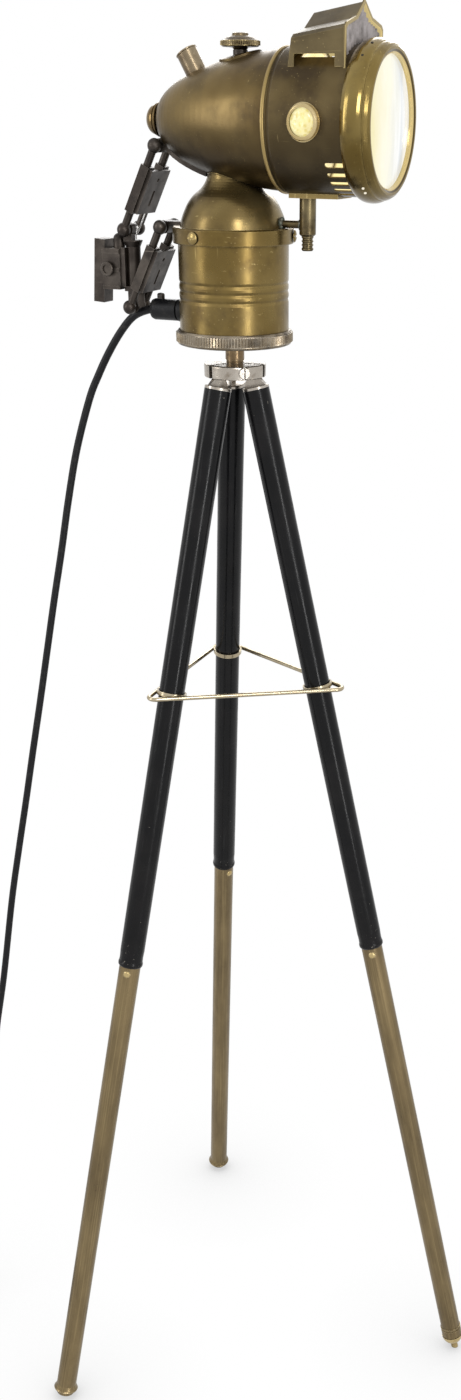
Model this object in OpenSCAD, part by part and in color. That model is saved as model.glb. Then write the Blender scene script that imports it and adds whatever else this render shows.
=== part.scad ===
// Tripod spotlight floor lamp: a brass carbide lamp, wired for a bulb, on a two-stage tripod.
// Millimetres. The origin is on the floor under the lamp's axis, +Z is up and the beam
// shines along +X.

/* [Tripod] */
// Length of a leg, from its pivot to the floor
leg_len = 815.3; // [780:0.1:850]
// Angle of the legs from plumb
leg_splay = 12.85; // [11.5:0.05:14]
// Turn of the front leg away from the beam
leg_turn = 3.5; // [0:0.5:10]
// Distance of the leg pivots from the middle
pivot_r = 12; // [11.5:0.1:12.5]
// Radius of the crown disc
crown_r = 20.5; // [20:0.1:24]
// Height of the crown disc
crown_h = 8.5; // [8:0.1:10]
// Thickness of the tongue on each leg cap
tongue_t = 3; // [2.5:0.1:4]
// Diameter of the pivot pins
leg_pin_d = 2.5; // [2:0.1:3]
// Outside diameter of the upper leg tubes
upper_od = 18; // [17.5:0.1:19]
// Wall of every leg tube
tube_wall = 0.8; // [0.6:0.05:0.9]
// Distance from the pivot to the end of the upper tube
knee_at = 426.2; // [380:0.1:470]
// Length of lower tube that stays inside the upper one
lap = 55; // [45:1:80]
// Distance from the knee to the top of the inner tube in the two telescoping feet
inner_below = 81.6; // [60:0.1:160]
// Length of the pointed tip below the foot collars
spike_len = 7.5; // [7:0.1:10]
// Radius of the front leg's ball foot
ball_r = 8.8; // [8.3:0.1:9.5]

/* [Spreader] */
// Distance along the leg from the pivot to the spreader ring
spreader_at = 217.7; // [180:0.1:260]
// Diameter of the spreader's rod
rod_d = 3; // [2.5:0.1:4]
// Clearance between a ring and its leg
ring_gap = 0.5; // [0.45:0.05:0.7]
// Height of the ring bands
ring_h = 3; // [2.5:0.1:5]

/* [Carbide can] */
// Outside radius of the can
can_r = 35.5; // [34.5:0.1:36]
// Height of the can
can_h = 68; // [66:0.5:80]
// Wall of the sheet brass
sheet = 0.8; // [0.7:0.05:0.9]
// Outside radius of the knurled cap
cap_r = 38.3; // [37.8:0.1:39.5]
// Height of the knurled cap
cap_h = 9; // [8.5:0.1:10.5]
// Number of knurls on the cap
cap_knurls = 120; // [80:4:140]
// Outside radius of the collar
collar_r = 38.7; // [38:0.1:39.5]
// Height of the collar
collar_h = 9.5; // [9:0.1:12]
// Radius of the bell's neck
neck_r = 15.5; // [14:0.1:17]
// Height of the stub under the can
stub_h = 11.9; // [10:0.1:14]

/* [Head] */
// Height of the head's axis above the collar
head_rise = 60; // [58:0.1:62]
// Length of the bullet
bullet_len = 88; // [86:0.5:92]
// Radius of the bullet's mouth
bullet_r = 39; // [38.6:0.1:39.4]
// Radius of the drum
drum_r = 41; // [40.8:0.1:41.6]
// Where the drum disappears into the bezel
drum_end = 88.5; // [88:0.1:92]
// Depth of the bezel
bezel_len = 18.2; // [17.5:0.1:20]
// Radius of the opening in front of the glass
glass_open_r = 35.9; // [33:0.1:37]
// Radius of the side jewels' glass
jewel_r = 7.7; // [6:0.1:8.4]
// Width of the vent slots
slot_w = 3.2; // [2.5:0.1:3.8]
// Radius of the valve knob
knob_r = 12.2; // [10:0.1:13]
// Outside diameter of the filler tube
filler_d = 13; // [12:0.1:14]
// Outside diameter of the gas pipe
pipe_d = 10.4; // [9.5:0.1:12]

/* [Hood] */
// Half width of the hood
hood_w = 29.5; // [28:0.1:30.5]
// Height of the hood's eaves above the head's axis
eave_rise = 48.5; // [47:0.1:50]
// Height of the hood's front peak above the head's axis
peak_rise = 62.5; // [61:0.1:66]
// Distance between the folds of the baffle
fold_pitch = 3.7; // [3:0.1:4.5]

/* [Bracket] */
// Distance of each link arm from the middle
arm_y = 10; // [9.8:0.1:11]
// Diameter of the link pins
link_pin_d = 3; // [2.6:0.1:3.2]
// Radius of the ball ends of the links
link_ball_r = 4.4; // [4.2:0.1:4.6]
// Half width of the eyes between the arms
eye_w = 5.3; // [5.2:0.02:5.34]
// Width of the slot that takes the handlebar bracket
socket_slot = 12.4; // [11:0.1:13]

/* [Cord] */
// Diameter of the cord
cord_d = 5.2; // [4.8:0.1:5.4]
// Height of the grip above the can's floor
grip_rise = 17.2; // [16.5:0.1:18]
// Outside diameter of the grip
grip_d = 13.3; // [12.5:0.1:13.8]
// Length of the plug's pins
plug_pin_len = 19; // [16:0.5:20]

/* [Hidden] */
$fn = 64;

// Clearances: a running fit, a fixed seat and the gap between faces that turn on each other
fit = 0.05;
seat = 0.02;
face_gap = 0.1;
// Past a surface that a cut goes through
over = 1;

// Legs: azimuths, heights and radii
leg_az = [leg_turn, leg_turn - 120, leg_turn + 120];
pivot_z = leg_len * cos(leg_splay);
crown_up = 4.1;
crown_top = pivot_z + crown_up;
crown_bottom = crown_top - crown_h;
upper_r = upper_od / 2;
upper_in = upper_r - tube_wall;
slide_gap = 0.2;
guide_gap = 0.1;
lower_r = upper_in - slide_gap;
lower_in = lower_r - tube_wall;
inner_gap = 0.4;
inner_r = lower_in - inner_gap;
inner_in = inner_r - 0.6;
eye_r = 4;
leg_pin_half = 7;
screw_az = -47;
screw_from = 8;
screw_r = 2;
screw_head_r = 4;
screw_head_at = crown_r - 11;
tongue_w = 9;
slot_side = 0.25;
cap_disc_at = 10;
cap_disc_t = 2;
tube_at = cap_disc_at + cap_disc_t;
plug_len = 8;
lip_len = 6;
band_end = leg_len - 13.5;
flare_end = leg_len - spike_len;
flare_len = 5;
flare_r = lower_r + 1.75;
pip_r = 2.5;
pip_below = 5;
pip_proud = 0.9;
leaf_t = 0.5;
leaf_len = 40;
leaf_past = 4;
leaf_x = lower_in - 1.1;

// Spreader: a triangle of bent rod that passes each leg on both sides
spreader_r = pivot_r + spreader_at * sin(leg_splay);
spreader_z = pivot_z - spreader_at * cos(leg_splay);
ring_in = upper_r + ring_gap;
ring_out = ring_in + 1.1;
rod_off = ring_in + 0.65 + rod_d / 2;
corner_r = spreader_r + 2 * rod_off;
bend_r = 5;

// Heights from the crown up to the head's axis
stub_top = crown_top + stub_h;
stub_r = 6.25;
stud_r = 3;
cap_z = stub_top + face_gap;
cap_floor = 1.2;
knurl_seat = 0.15;
can_z = cap_z + cap_floor + face_gap;
can_floor = 1;
can_top = can_z + can_h;
flange_t = 1.2;
collar_top = can_top + flange_t;
collar_in = collar_r - 1.2;
bell_r = collar_r - 4.7;
bell_h = 36;
nut_z = can_z + can_floor + face_gap;
nut_h = 4;
head_z = collar_top + head_rise;
collar_screw_z = collar_top - 5;
collar_screw_az = [-105, 15, 135];
collar_screw_r = 1.5;
collar_screw_head_r = 3.8;

// Head: places along its axis
bullet_front = 38;
bullet_back = bullet_front - bullet_len;
lead_hole_r = 4;
tail_x = bullet_back + 0.8;
tail_hole = 2;
acorn_r = 8.6;
acorn_flange_r = acorn_r + 1.2;
acorn_foot = 3;
acorn_len = 9.2;
bead_x = bullet_front + 0.1;
bead_r = 1.3;
drum_x = bead_x + bead_r;
cone_len = 3.7;
spigot_x = drum_end + 9.5;
drum_in = drum_r - sheet;
slot_x = drum_end - 12;
slot_step = 9.7;
slot_first = 33.8;
jewel_x = 65.9;
jewel_seat = drum_r + 1;
valve_x = 6.3;
boss_r = 13;
boss_up = 1.1;
gland_r = 4.5;
gland_h = 2.7;
gland_z = head_z + bullet_at(valve_x) + boss_up - 0.7;
needle_r = 3;
knob_stem = 2.5;
knob_knurls = 60;
filler_x = -24.9;
filler_z = head_z + 28;
filler_tilt = 30.3;
filler_in = 6;
filler_out = 11.4;
pipe_x = 51.5;
saddle_drop = 1;
saddle_z = head_z - drum_r - saddle_drop;
saddle_w = 11.5;
branch_r = 2.3;
branch_z = collar_top + 2.5;
pipe_bottom = branch_z - 6;
nozzle_len = 9;
flex_r = 2;

// Hood: stations along the head's axis
hood_front = 87;
hood_foot = 49.3;
flange_out = 0.7;
shoulder_y = 27;
shoulder_share = 0.15;
step_y = 12;
step_share = 0.4;
hood_low = 20;
hood_open = drum_r - 5.8;
hood_lean = 6;
hood_fall = 5.6;
eave_fall = 5.4;
baffle_x = 84.5;

// Bezel and front glass
bezel_front = drum_end + bezel_len;
lip_x = bezel_front - 3.5;
bore_r = drum_r + guide_gap;
glass_r = bore_r - 0.5;
glass_t = 2;

// Bulb, holder and reflector inside the head
dish_x = 40;
dish_t = 0.5;
dish_rim_r = drum_in - 2.2;
dish_hole_r = 14;
dish_depth = 15;
holder_len = 16;
socket_depth = 12;
holder_r = 8;
bulb_neck_r = 5.9;

// Bracket: front and rear pivots of the two links
link_dx = -24.5;
link_dz = -49.3;
link_len = norm([link_dx, link_dz]);
link_lean = atan2(-link_dx, -link_dz);
up_drop = 14.5;
low_drop = 1.5;
tail_in = 0.5;
low_out = 8.8;
up_front = [bullet_back + tail_in, head_z - up_drop];
low_front = [-collar_r - low_out, collar_top - low_drop];
lug_back = up_front[0] + 5.5;
lug_front = -neck_r - 0.9;
up_rear = up_front + [link_dx, link_dz];
low_rear = low_front + [link_dx, link_dz];
pin_r = link_pin_d / 2;
pin_reach = arm_y + 3;
neck_r_link = 2.5;
channel_len = 30;
channel_w = 8;
channel_t = 5;
web_x = 4.1;
web_t = 1.9;
web_hole_r = 1.25;
web_hole_at = 8;
ear_in = 4.25;
open_gap = 0.3;
barrel_r = 4.75;
barrel_lip = barrel_r + 1.6;
fork_rise = 11.3;
cup_drop = 6.7;
barrel_bottom = low_rear[1] + fork_rise;
barrel_top = up_rear[1] - cup_drop;
barrel_x = (up_rear[0] + low_rear[0]) / 2;
block_over = 1;
spring_r = 3.3;
spring_wire = 0.45;
spring_pitch = 1.4;
spring_turns = 3 - link_lean / 360;
spring_leg_down = 6;
spring_leg_up = 18;
socket_z = low_rear[1] + 22.9;
socket_h = 25;
socket_x = barrel_x - 13;
socket_t = 12.5;
bracket_t = 4.5;
bracket_x = socket_x - 5.2;
bolt_x = socket_x - 2;
bolt_r = 2;
bolt_head_r = 4.5;
post_r = 3.9;
post_x = min(barrel_x - barrel_lip, up_rear[0] - eye_r) - post_r - face_gap;
rib_step = 11;
rib_h = 2.2;
bar_len = 39;
bar_w = 12;
bar_t = 7.7;
bar_tilt = 4;

// Grip on the can's back
grip_z = can_z + grip_rise;
grip_x = -can_r;
grip_end = grip_x - 24.5;
grip_bore = 8;
cord_slack = 0.3;
cord_short = 0.4;
spigot_tip = grip_x + 4;
spigot_r = 5;

// Route of the cord, from the grip to the coil on the floor
cord_r = cord_d / 2;
cord_start = [grip_end + grip_bore - cord_short, 0, grip_z];
cord_points = [
    cord_start, [-62, 0, 829], [-74, 0, 824.5], [-84, 0, 815], [-95, 0, 800],
    [-104, -1, 784], [-111, -3, 768], [-121, -7, 734], [-128, -11, 699], [-134, -15, 663],
    [-140, -20, 627], [-146, -25, 589], [-152, -30, 551], [-158, -36, 512], [-164, -42, 472],
    [-170, -49, 431], [-176, -56, 388], [-183, -66, 324], [-193, -70, 270], [-203, -74, 205],
    [-211, -77, 140], [-218, -79.5, 80], [-223, -81.5, 45], [-230, -84, 20], [-241, -88, 6.5],
    [-254, -92.5, cord_r], [-268, -97.6, cord_r]
];
cord_heading = 200;
coil_in_r = 21.5;
coil_pitch = 5.8;
coil_turns = 2.57;
coil_rings = 24;
tail_drop = 45;
coil_start_r = coil_in_r + coil_turns * coil_pitch;
coil_from = cord_points[len(cord_points) - 1];
coil_mid = [
    coil_from[0] + coil_start_r * cos(cord_heading + 90) + cord_d * cos(cord_heading),
    coil_from[1] + coil_start_r * sin(cord_heading + 90) + cord_d * sin(cord_heading)
];
plug_w = 35.3;
plug_t = 13.7;
plug_len_body = 36;
plug_pin_r = 2;
plug_pin_gap = 18.6;

// ---------- shared functions ----------

// A soft curve through the points p, with n steps between two of them
function smooth(p, n) = concat(
    [for (i = [0:len(p) - 2]) for (k = [0:n - 1])
        let (t = k / n, a = p[max(i - 1, 0)], b = p[i], c = p[i + 1], d = p[min(i + 2, len(p) - 1)])
        0.5 * (2 * b + (c - a) * t + (2 * a - 5 * b + 4 * c - d) * t * t
            + (3 * b - a - 3 * c + d) * t * t * t)],
    [p[len(p) - 1]]);

// The line p moved by w to its right, for the other side of a sheet
function inset(p, w) = [for (i = [0:len(p) - 1])
    let (d = p[min(i + 1, len(p) - 1)] - p[max(i - 1, 0)])
    p[i] + w * [d[1], -d[0]] / norm(d)];

// The points p in the opposite order
function back(p) = [for (i = [len(p) - 1:-1:0]) p[i]];

// Radius of the bullet at x along the head's axis
function bullet_at(x) =
    let (u = min(1, max(0, (x - bullet_back) / bullet_len)))
    bullet_r * pow(1 - pow(1 - u, 1.4), 0.4);

// Outside line of the bullet, closer together at the blunt tail
bullet_line = [for (k = [0:22])
    let (x = tail_x + (bullet_front - tail_x) * pow(k / 22, 1.5))
    [x, bullet_at(x)]];

// Outside line of the bell, from the collar up into the bullet
bell_curve = smooth([
    [bell_r, 0], [bell_r - 1.2, 4.5], [bell_r - 2.8, 8.5], [bell_r - 5.4, 13.5],
    [neck_r + 9.5, 17.9], [neck_r + 4.6, 21.8], [neck_r + 1.4, 26.3], [neck_r, 30.5]], 3);
bell_line = concat([for (k = [0:len(bell_curve) - 2]) bell_curve[k]], [[neck_r, bell_h]]);

function unit(v) = v / norm(v);

// Direction of the path p at its point i
function heading(p, i) = unit(p[min(i + 1, len(p) - 1)] - p[max(i - 1, 0)]);

// ---------- shared modules ----------

// Frame of a leg: its pivot at the origin and the leg along -Z, leaning out towards +X
module on_leg(az) {
    rotate([0, 0, az]) translate([pivot_r, 0, pivot_z]) rotate([0, -leg_splay, 0]) children();
}

// Turned about the leg: line of [radius, distance down the leg]
module leg_turned(line) {
    rotate_extrude() polygon([for (q = line) [q[0], -q[1]]]);
}

// Turned about the head's axis: line of [x, radius]
module head_turned(line) {
    translate([0, 0, head_z]) rotate([0, 90, 0]) rotate([0, 0, 125]) rotate_extrude()
        polygon([for (q = line) [q[1], q[0]]]);
}

// Rod from a to b
module rod(a, b, r) {
    d = b - a;
    translate(a) rotate([0, acos(d[2] / norm(d)), atan2(d[1], d[0])]) cylinder(h = norm(d), r = r);
}

// Tube of n sides along the path p: one ring at each point, ends closed
module swept(p, r, n, side) {
    rings = len(p);
    points = [for (i = [0:rings - 1])
        let (t = heading(p, i), u = unit(cross(t, side)), v = cross(t, u))
        for (k = [0:n - 1]) p[i] + r * (cos(360 * k / n) * u + sin(360 * k / n) * v)];
    walls = [for (i = [0:rings - 2]) for (k = [0:n - 1])
        let (a = i * n + k, b = i * n + (k + 1) % n)
        each [[a, b, a + n], [b, b + n, a + n]]];
    caps = [[for (k = [n - 1:-1:0]) k], [for (k = [0:n - 1]) (rings - 1) * n + k]];
    polyhedron(points = points, faces = concat(walls, caps));
}

// The floor, as a block that cuts what would stand below it
module below_floor() {
    reach = leg_len;
    translate([-reach, -reach, -reach]) cube([2 * reach, 2 * reach, reach]);
}

// Solid inside the bullet's outside face
module bullet_solid() {
    head_turned(concat([[tail_x, 0]], bullet_line, [[bullet_front, 0]]));
}

// Two cones that clear the bullet's belly where the bell meets it
module bullet_belly() {
    reach = 30;
    belly = bullet_at(0) + 0.15;
    head_turned([
        [-reach, 0], [-reach, belly - 0.25 * reach], [0, belly], [reach, belly + 0.19 * reach], [reach, 0]]);
}

// ---------- tripod ----------

module crown() {
    edge = 1.2;
    color("silver") difference() {
        rotate_extrude() polygon(concat(
            [[0, crown_bottom], [crown_r - edge, crown_bottom]],
            [for (k = [-3:3]) [
                crown_r - edge + edge * cos(30 * k),
                (k < 0 ? crown_bottom + edge : crown_top - edge) + edge * sin(30 * k)]],
            [[crown_r - edge, crown_top], [0, crown_top]]));
        translate([0, 0, crown_bottom - over]) cylinder(h = crown_h + 2 * over, r = stud_r + seat);
        for (az = leg_az) rotate([0, 0, az]) {
            slot = tongue_t + 2 * slot_side;
            translate([pivot_r - tongue_w / 2 - 0.7, -slot / 2, crown_bottom - over])
                cube([crown_r, slot, crown_h + 2 * over]);
            translate([pivot_r, -leg_pin_half - seat, pivot_z]) rotate([-90, 0, 0])
                cylinder(h = 2 * (leg_pin_half + seat), d = leg_pin_d + 2 * seat);
        }
        rotate([0, 0, screw_az]) translate([screw_from, 0, pivot_z]) rotate([0, 90, 0]) {
            cylinder(h = crown_r, r = screw_r + seat);
            translate([0, 0, screw_head_at]) cylinder(h = 20, r = screw_head_r + seat);
        }
    }
}

module crown_screw() {
    color("darkgoldenrod") rotate([0, 0, screw_az]) translate([screw_from, 0, pivot_z])
        rotate([0, 90, 0]) difference() {
        union() {
            cylinder(h = screw_head_at + 1, r = screw_r);
            translate([0, 0, screw_head_at]) cylinder(h = 3.2, r = screw_head_r);
            translate([0, 0, screw_head_at + 3.2])
                cylinder(h = 0.5, r1 = screw_head_r, r2 = screw_head_r - 0.6);
        }
        translate([-5, -0.5, screw_head_at + 2.4]) cube([10, 1, 2]);
    }
}

module leg_pins() {
    color("gray") for (az = leg_az)
        rotate([0, 0, az]) translate([pivot_r, -leg_pin_half, pivot_z]) rotate([-90, 0, 0])
            cylinder(h = 2 * leg_pin_half, d = leg_pin_d);
}

module stub() {
    color("peru") translate([0, 0, crown_top]) {
        cylinder(h = 2, r = stub_r - 0.55);
        translate([0, 0, 2]) cylinder(h = stub_h - 2.6, r = stub_r);
        translate([0, 0, stub_h - 0.6]) cylinder(h = 0.6, r1 = stub_r, r2 = stub_r - 0.6);
        translate([0, 0, -crown_h]) cylinder(h = crown_h + nut_z + nut_h + 0.7 - crown_top, r = stud_r);
    }
}

module stub_nut() {
    color("silver") translate([0, 0, nut_z]) difference() {
        cylinder(h = nut_h, r = 5.8, $fn = 6);
        translate([0, 0, -over]) cylinder(h = nut_h + 2 * over, r = stud_r + seat);
    }
}

module leg_cap(az) {
    cap_in = upper_in - guide_gap;
    color("lightgray") on_leg(az) difference() {
        union() {
            rotate([90, 0, 0]) cylinder(h = tongue_t, r = eye_r, center = true);
            rotate([90, 0, 0]) linear_extrude(tongue_t, center = true) polygon([
                [-eye_r, 0], [-tongue_w / 2, -1], [-tongue_w / 2, -5], [-8, -cap_disc_at - 0.5],
                [8, -cap_disc_at - 0.5], [tongue_w / 2, -5], [tongue_w / 2, -1], [eye_r, 0]]);
            leg_turned([
                [0, cap_disc_at], [upper_r - 0.5, cap_disc_at], [upper_r, cap_disc_at + 0.5],
                [upper_r, tube_at], [cap_in, tube_at], [cap_in, tube_at + plug_len - 1],
                [cap_in - 1, tube_at + plug_len], [0, tube_at + plug_len]]);
        }
        rotate([90, 0, 0]) cylinder(h = 2 * tongue_t, r = leg_pin_d / 2 + fit, center = true);
    }
}

module upper_tube(az) {
    lip = lower_r + guide_gap;
    end = knee_at;
    color("black") on_leg(az) leg_turned([
        [upper_in, tube_at], [upper_r, tube_at], [upper_r, end - 12], [upper_r - 0.25, end - 7.5],
        [upper_r - 0.2, end - 4.2], [upper_r + 0.25, end - 2.4], [upper_r + 0.15, end - 0.9],
        [upper_r - 0.4, end], [lip, end], [lip, end - lip_len], [upper_in, end - lip_len - 0.5]]);
}

// Lower tube: guide ring at the top, a hole for the catch, and the end that its foot needs
module lower_tube(az, turn, flared) {
    top = knee_at - lap;
    guide = upper_in - guide_gap;
    end = flared ? flare_end : band_end;
    bore = flared ? inner_r + guide_gap : ball_r - 1.7;
    foot = flared
        ? [[lower_r, end - flare_len], [flare_r - 0.5, end - 1.6], [flare_r, end - 0.9],
           [flare_r - 0.3, end], [bore, end], [bore, end - flare_len - 3],
           [lower_in, end - flare_len - 3.6]]
        : [[lower_r, end - 9.6], [lower_r + 0.6, end - 9.4], [lower_r + 0.6, end - 8.6],
           [lower_r, end - 8.4], [lower_r, end - 7], [lower_r + 0.5, end - 6.8],
           [lower_r + 0.5, end - 0.5], [lower_r, end], [lower_in, end]];
    color("darkkhaki") on_leg(az) difference() {
        leg_turned(concat([[lower_in, top], [guide, top], [guide, top + 4], [lower_r, top + 4.4]], foot));
        rotate([0, 0, turn]) translate([leaf_x, 0, -knee_at - pip_below]) rotate([0, 90, 0])
            cylinder(h = 6, r = pip_r + fit);
    }
}

// Catch: a round pip that springs out through the tube below the knee, on a leaf inside
module catch(az, turn) {
    color("khaki") on_leg(az) rotate([0, 0, turn]) translate([leaf_x, 0, -knee_at - pip_below])
        rotate([0, 90, 0]) {
            rotate_extrude() polygon(concat(
                [[0, 0], [pip_r, 0], [pip_r, lower_r - leaf_x - 0.1]],
                [for (k = [1:5]) [
                    pip_r * cos(18 * k), lower_r - leaf_x - 0.1 + (pip_proud + 0.1) * sin(18 * k)]]));
            translate([-leaf_past, -pip_r, 0]) cube([leaf_len, 2 * pip_r, leaf_t]);
        }
}

module foot_ball(az) {
    plug_r = ball_r - 1.7 - seat;
    color("darkgoldenrod") difference() {
        on_leg(az) union() {
            leg_turned(concat(
                [[0, band_end - 12], [min(plug_r, lower_in - seat), band_end - 12],
                 [min(plug_r, lower_in - seat), band_end]],
                [for (k = [0:8]) [ball_r * cos(10 * k), band_end + ball_r * sin(10 * k)]],
                [[0, band_end + ball_r]]));
            translate([0, 0, -leg_len]) cylinder(h = 8, r = 2.9);
            translate([0, 0, -leg_len]) sphere(r = 2.9);
        }
        below_floor();
    }
}

module inner_tube(az) {
    top = knee_at + inner_below;
    guide = lower_in - guide_gap;
    color("darkkhaki") difference() {
        on_leg(az) leg_turned([
            [inner_in, top], [guide, top], [guide, top + 4], [inner_r, top + 4.4],
            [inner_r, flare_end + face_gap], [inner_r + 0.3, flare_end + face_gap],
            [inner_r + 0.5, flare_end + 1], [inner_r + 0.5, flare_end + 3],
            [inner_r, flare_end + 4], [2.2, leg_len - 0.6], [0, leg_len + 1.4],
            [0, flare_end - 6], [inner_in, flare_end - 6]]);
        below_floor();
    }
}

module spreader() {
    straight = corner_r * sqrt(3) - 2 * bend_r * sqrt(3);
    color("gainsboro") difference() {
        union() {
            for (az = leg_az) {
                rotate([0, 0, az + 60]) translate([corner_r / 2, 0, spreader_z]) rotate([90, 0, 0])
                    cylinder(h = straight + 0.6, d = rod_d, center = true);
                rotate([0, 0, az]) translate([corner_r - 2 * bend_r, 0, spreader_z]) rotate([0, 0, -60])
                    rotate_extrude(angle = 120) translate([bend_r, 0]) circle(d = rod_d + 0.1);
                on_leg(az) translate([0, 0, -spreader_at - ring_h / 2]) cylinder(h = ring_h, r = ring_out);
            }
        }
        for (az = leg_az)
            on_leg(az) translate([0, 0, -spreader_at - 20]) cylinder(h = 40, r = ring_in);
    }
}

// ---------- carbide can ----------

module base_cap() {
    root = cap_r - 0.7;
    body = root - knurl_seat;
    step = 360 / cap_knurls;
    color("goldenrod") translate([0, 0, cap_z]) difference() {
        union() {
            rotate_extrude() polygon([
                [0, 0], [body - 2, 0], [body - 0.6, 0.5], [body, 1.4], [body, cap_h - 0.8],
                [body - 0.7, cap_h], [0, cap_h]]);
            translate([0, 0, 2]) linear_extrude(cap_h - 3.4) polygon([
                for (k = [0:cap_knurls - 1]) each [
                    [root * cos(k * step), root * sin(k * step)],
                    [cap_r * cos((k + 0.5) * step), cap_r * sin((k + 0.5) * step)]]]);
        }
        translate([0, 0, cap_floor]) cylinder(h = cap_h, r = can_r + guide_gap);
        translate([0, 0, -over]) cylinder(h = 4, r = stud_r + guide_gap);
    }
}

// Can: a closed cup with three soft grooves pressed in
module can() {
    grooves = [can_h - 41.6, can_h - 36.6, can_h - 31.6];
    groove = [for (z = grooves) each [for (k = [-3:3]) [can_r - 0.25 * (1 + cos(60 * k)), z + k * 0.6]]];
    inside = [for (q = back(groove)) [q[0] - sheet, q[1]]];
    color("goldenrod") translate([0, 0, can_z]) difference() {
        rotate_extrude() polygon(concat(
            [[0, 0], [can_r - 0.8, 0], [can_r, 0.8]], groove, [[can_r, can_h], [can_r - sheet, can_h]],
            inside, [[can_r - sheet, can_floor], [0, can_floor]]));
        translate([0, 0, -over]) cylinder(h = 4, r = stud_r + fit);
        translate([0, 0, grip_rise]) rotate([0, -90, 0]) cylinder(h = can_r + over, r = spigot_r + seat);
    }
}

module collar() {
    color("goldenrod") difference() {
        translate([0, 0, collar_top]) rotate_extrude() polygon([
            [bell_r - 0.5, -flange_t], [collar_in, -flange_t], [collar_in, -collar_h],
            [collar_r - 0.4, -collar_h], [collar_r, 0.6 - collar_h], [collar_r, -0.7],
            [collar_r - 0.7, 0], [bell_r - 0.5, 0]]);
        for (az = collar_screw_az) rotate([0, 0, az]) translate([0, 0, collar_screw_z])
            rotate([0, 90, 0]) cylinder(h = collar_r + over, r = collar_screw_r + seat);
    }
}

module collar_screws() {
    color("silver") for (az = collar_screw_az)
        rotate([0, 0, az]) translate([can_r + seat, 0, collar_screw_z]) rotate([0, 90, 0]) difference() {
            union() {
                cylinder(h = collar_r - can_r + 0.5, r = collar_screw_r);
                translate([0, 0, collar_r - can_r]) rotate_extrude() polygon(concat(
                    [[0, 0]],
                    [for (k = [0:6]) [collar_screw_head_r * cos(15 * k), 0.6 + 1.6 * sin(15 * k)]]));
            }
            translate([-0.5, -5, collar_r - can_r + 1.3]) cube([1, 10, 2]);
        }
}

module bell() {
    color("goldenrod") difference() {
        translate([0, 0, collar_top]) rotate_extrude()
            polygon(concat(bell_line, back([for (q = inset(bell_line, -sheet)) [q[0], max(0, q[1])]])));
        bullet_belly();
    }
}

// ---------- head ----------

module bullet() {
    inside = inset(bullet_line, sheet);
    up = [for (q = bullet_line) q + [0, boss_up]];
    color("peru") difference() {
        union() {
            bullet_solid();
            head_turned([for (k = [0:12])
                [bead_x + bead_r * cos(30 * k), bullet_r + 0.2 + bead_r * sin(30 * k)]]);
            intersection() {
                head_turned(concat([[tail_x, 0]], up, [[bullet_front, 0]]));
                translate([valve_x, 0, head_z]) cylinder(h = 60, r = boss_r);
            }
        }
        head_turned(concat(
            [[tail_x + 1, 0]], [for (q = inside) if (q[0] > tail_x + 1) q],
            [[bullet_front + 12, bullet_r - sheet], [bullet_front + 12, 0]]));
        translate([tail_x - over, 0, head_z]) rotate([0, 90, 0]) cylinder(h = 4, r = tail_hole + seat);
        translate([valve_x, 0, head_z]) cylinder(h = 60, r = needle_r + seat);
        translate([valve_x, 0, gland_z]) cylinder(h = 20, r = gland_r + 0.2);
        translate([filler_x, 0, filler_z]) rotate([0, -filler_tilt, 0])
            translate([0, 0, -12]) cylinder(h = 30, d = filler_d + 2 * seat);
        translate([0, 0, head_z - bullet_r - over]) cylinder(h = 20, r = lead_hole_r);
    }
}

module acorn_nut() {
    color("saddlebrown") translate([tail_x, 0, head_z]) rotate([0, -90, 0]) {
        rotate_extrude() polygon(concat(
            [[0, 0], [acorn_flange_r - 0.5, 0], [acorn_flange_r, 0.4], [acorn_flange_r, 1.2],
                [acorn_flange_r - 0.5, 1.6], [acorn_r, 1.7], [acorn_r, 2.2], [acorn_r + 0.5, 2.6]],
            [for (a = [0:10:90]) [acorn_r * cos(a), acorn_foot + (acorn_len - acorn_foot) * sin(a)]]));
        translate([0, 0, -4]) cylinder(h = 4.5, r = tail_hole);
    }
}

module filler_tube() {
    r = filler_d / 2;
    color("darkgoldenrod") translate([filler_x, 0, filler_z]) rotate([0, -filler_tilt, 0]) rotate_extrude()
        polygon([
            [r - 0.6, -filler_in], [r, -filler_in], [r, filler_out - 1.2], [r + 0.4, filler_out - 0.9],
            [r + 0.4, filler_out - 0.3], [r, filler_out], [r - 0.6, filler_out]]);
}

module valve_gland() {
    color("dimgray") translate([valve_x, 0, gland_z]) difference() {
        union() {
            cylinder(h = gland_h, r = gland_r);
            translate([0, 0, -6]) cylinder(h = 6.1, r = needle_r);
        }
        translate([0, 0, -5]) cylinder(h = 20, r = knob_stem + fit - 0.6);
        translate([0, 0, -1]) cylinder(h = 20, r = knob_stem + fit);
    }
}

// Knob: a mushroom with a knurled rim on a stem that turns in the gland
module valve_knob() {
    z = gland_z + gland_h;
    rim = knob_r;
    band = rim - 0.6 - knurl_seat;
    step = 360 / knob_knurls;
    color("darkgoldenrod") translate([valve_x, 0, z]) {
        translate([0, 0, -gland_h]) cylinder(h = gland_h + 3, r = knob_stem);
        translate([0, 0, -gland_h - 3.8]) cylinder(h = 4, r = knob_stem - 0.6);
        rotate_extrude() polygon([
            [0, face_gap], [4, face_gap], [5, 1.2], [rim - 1.5, 1.6], [band, 2.1], [band, 5],
            [rim - 1.6, 5.4], [rim - 3.5, 6.6], [rim - 5.5, 7.4], [rim - 7, 7.6], [rim - 7.4, 8.9],
            [rim - 8.4, 9.2], [0, 9.3]]);
        translate([0, 0, 2.4]) linear_extrude(2.4) polygon([
            for (k = [0:knob_knurls - 1]) each [
                [(rim - 0.6) * cos(k * step), (rim - 0.6) * sin(k * step)],
                [rim * cos((k + 0.5) * step), rim * sin((k + 0.5) * step)]]]);
    }
}

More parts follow.
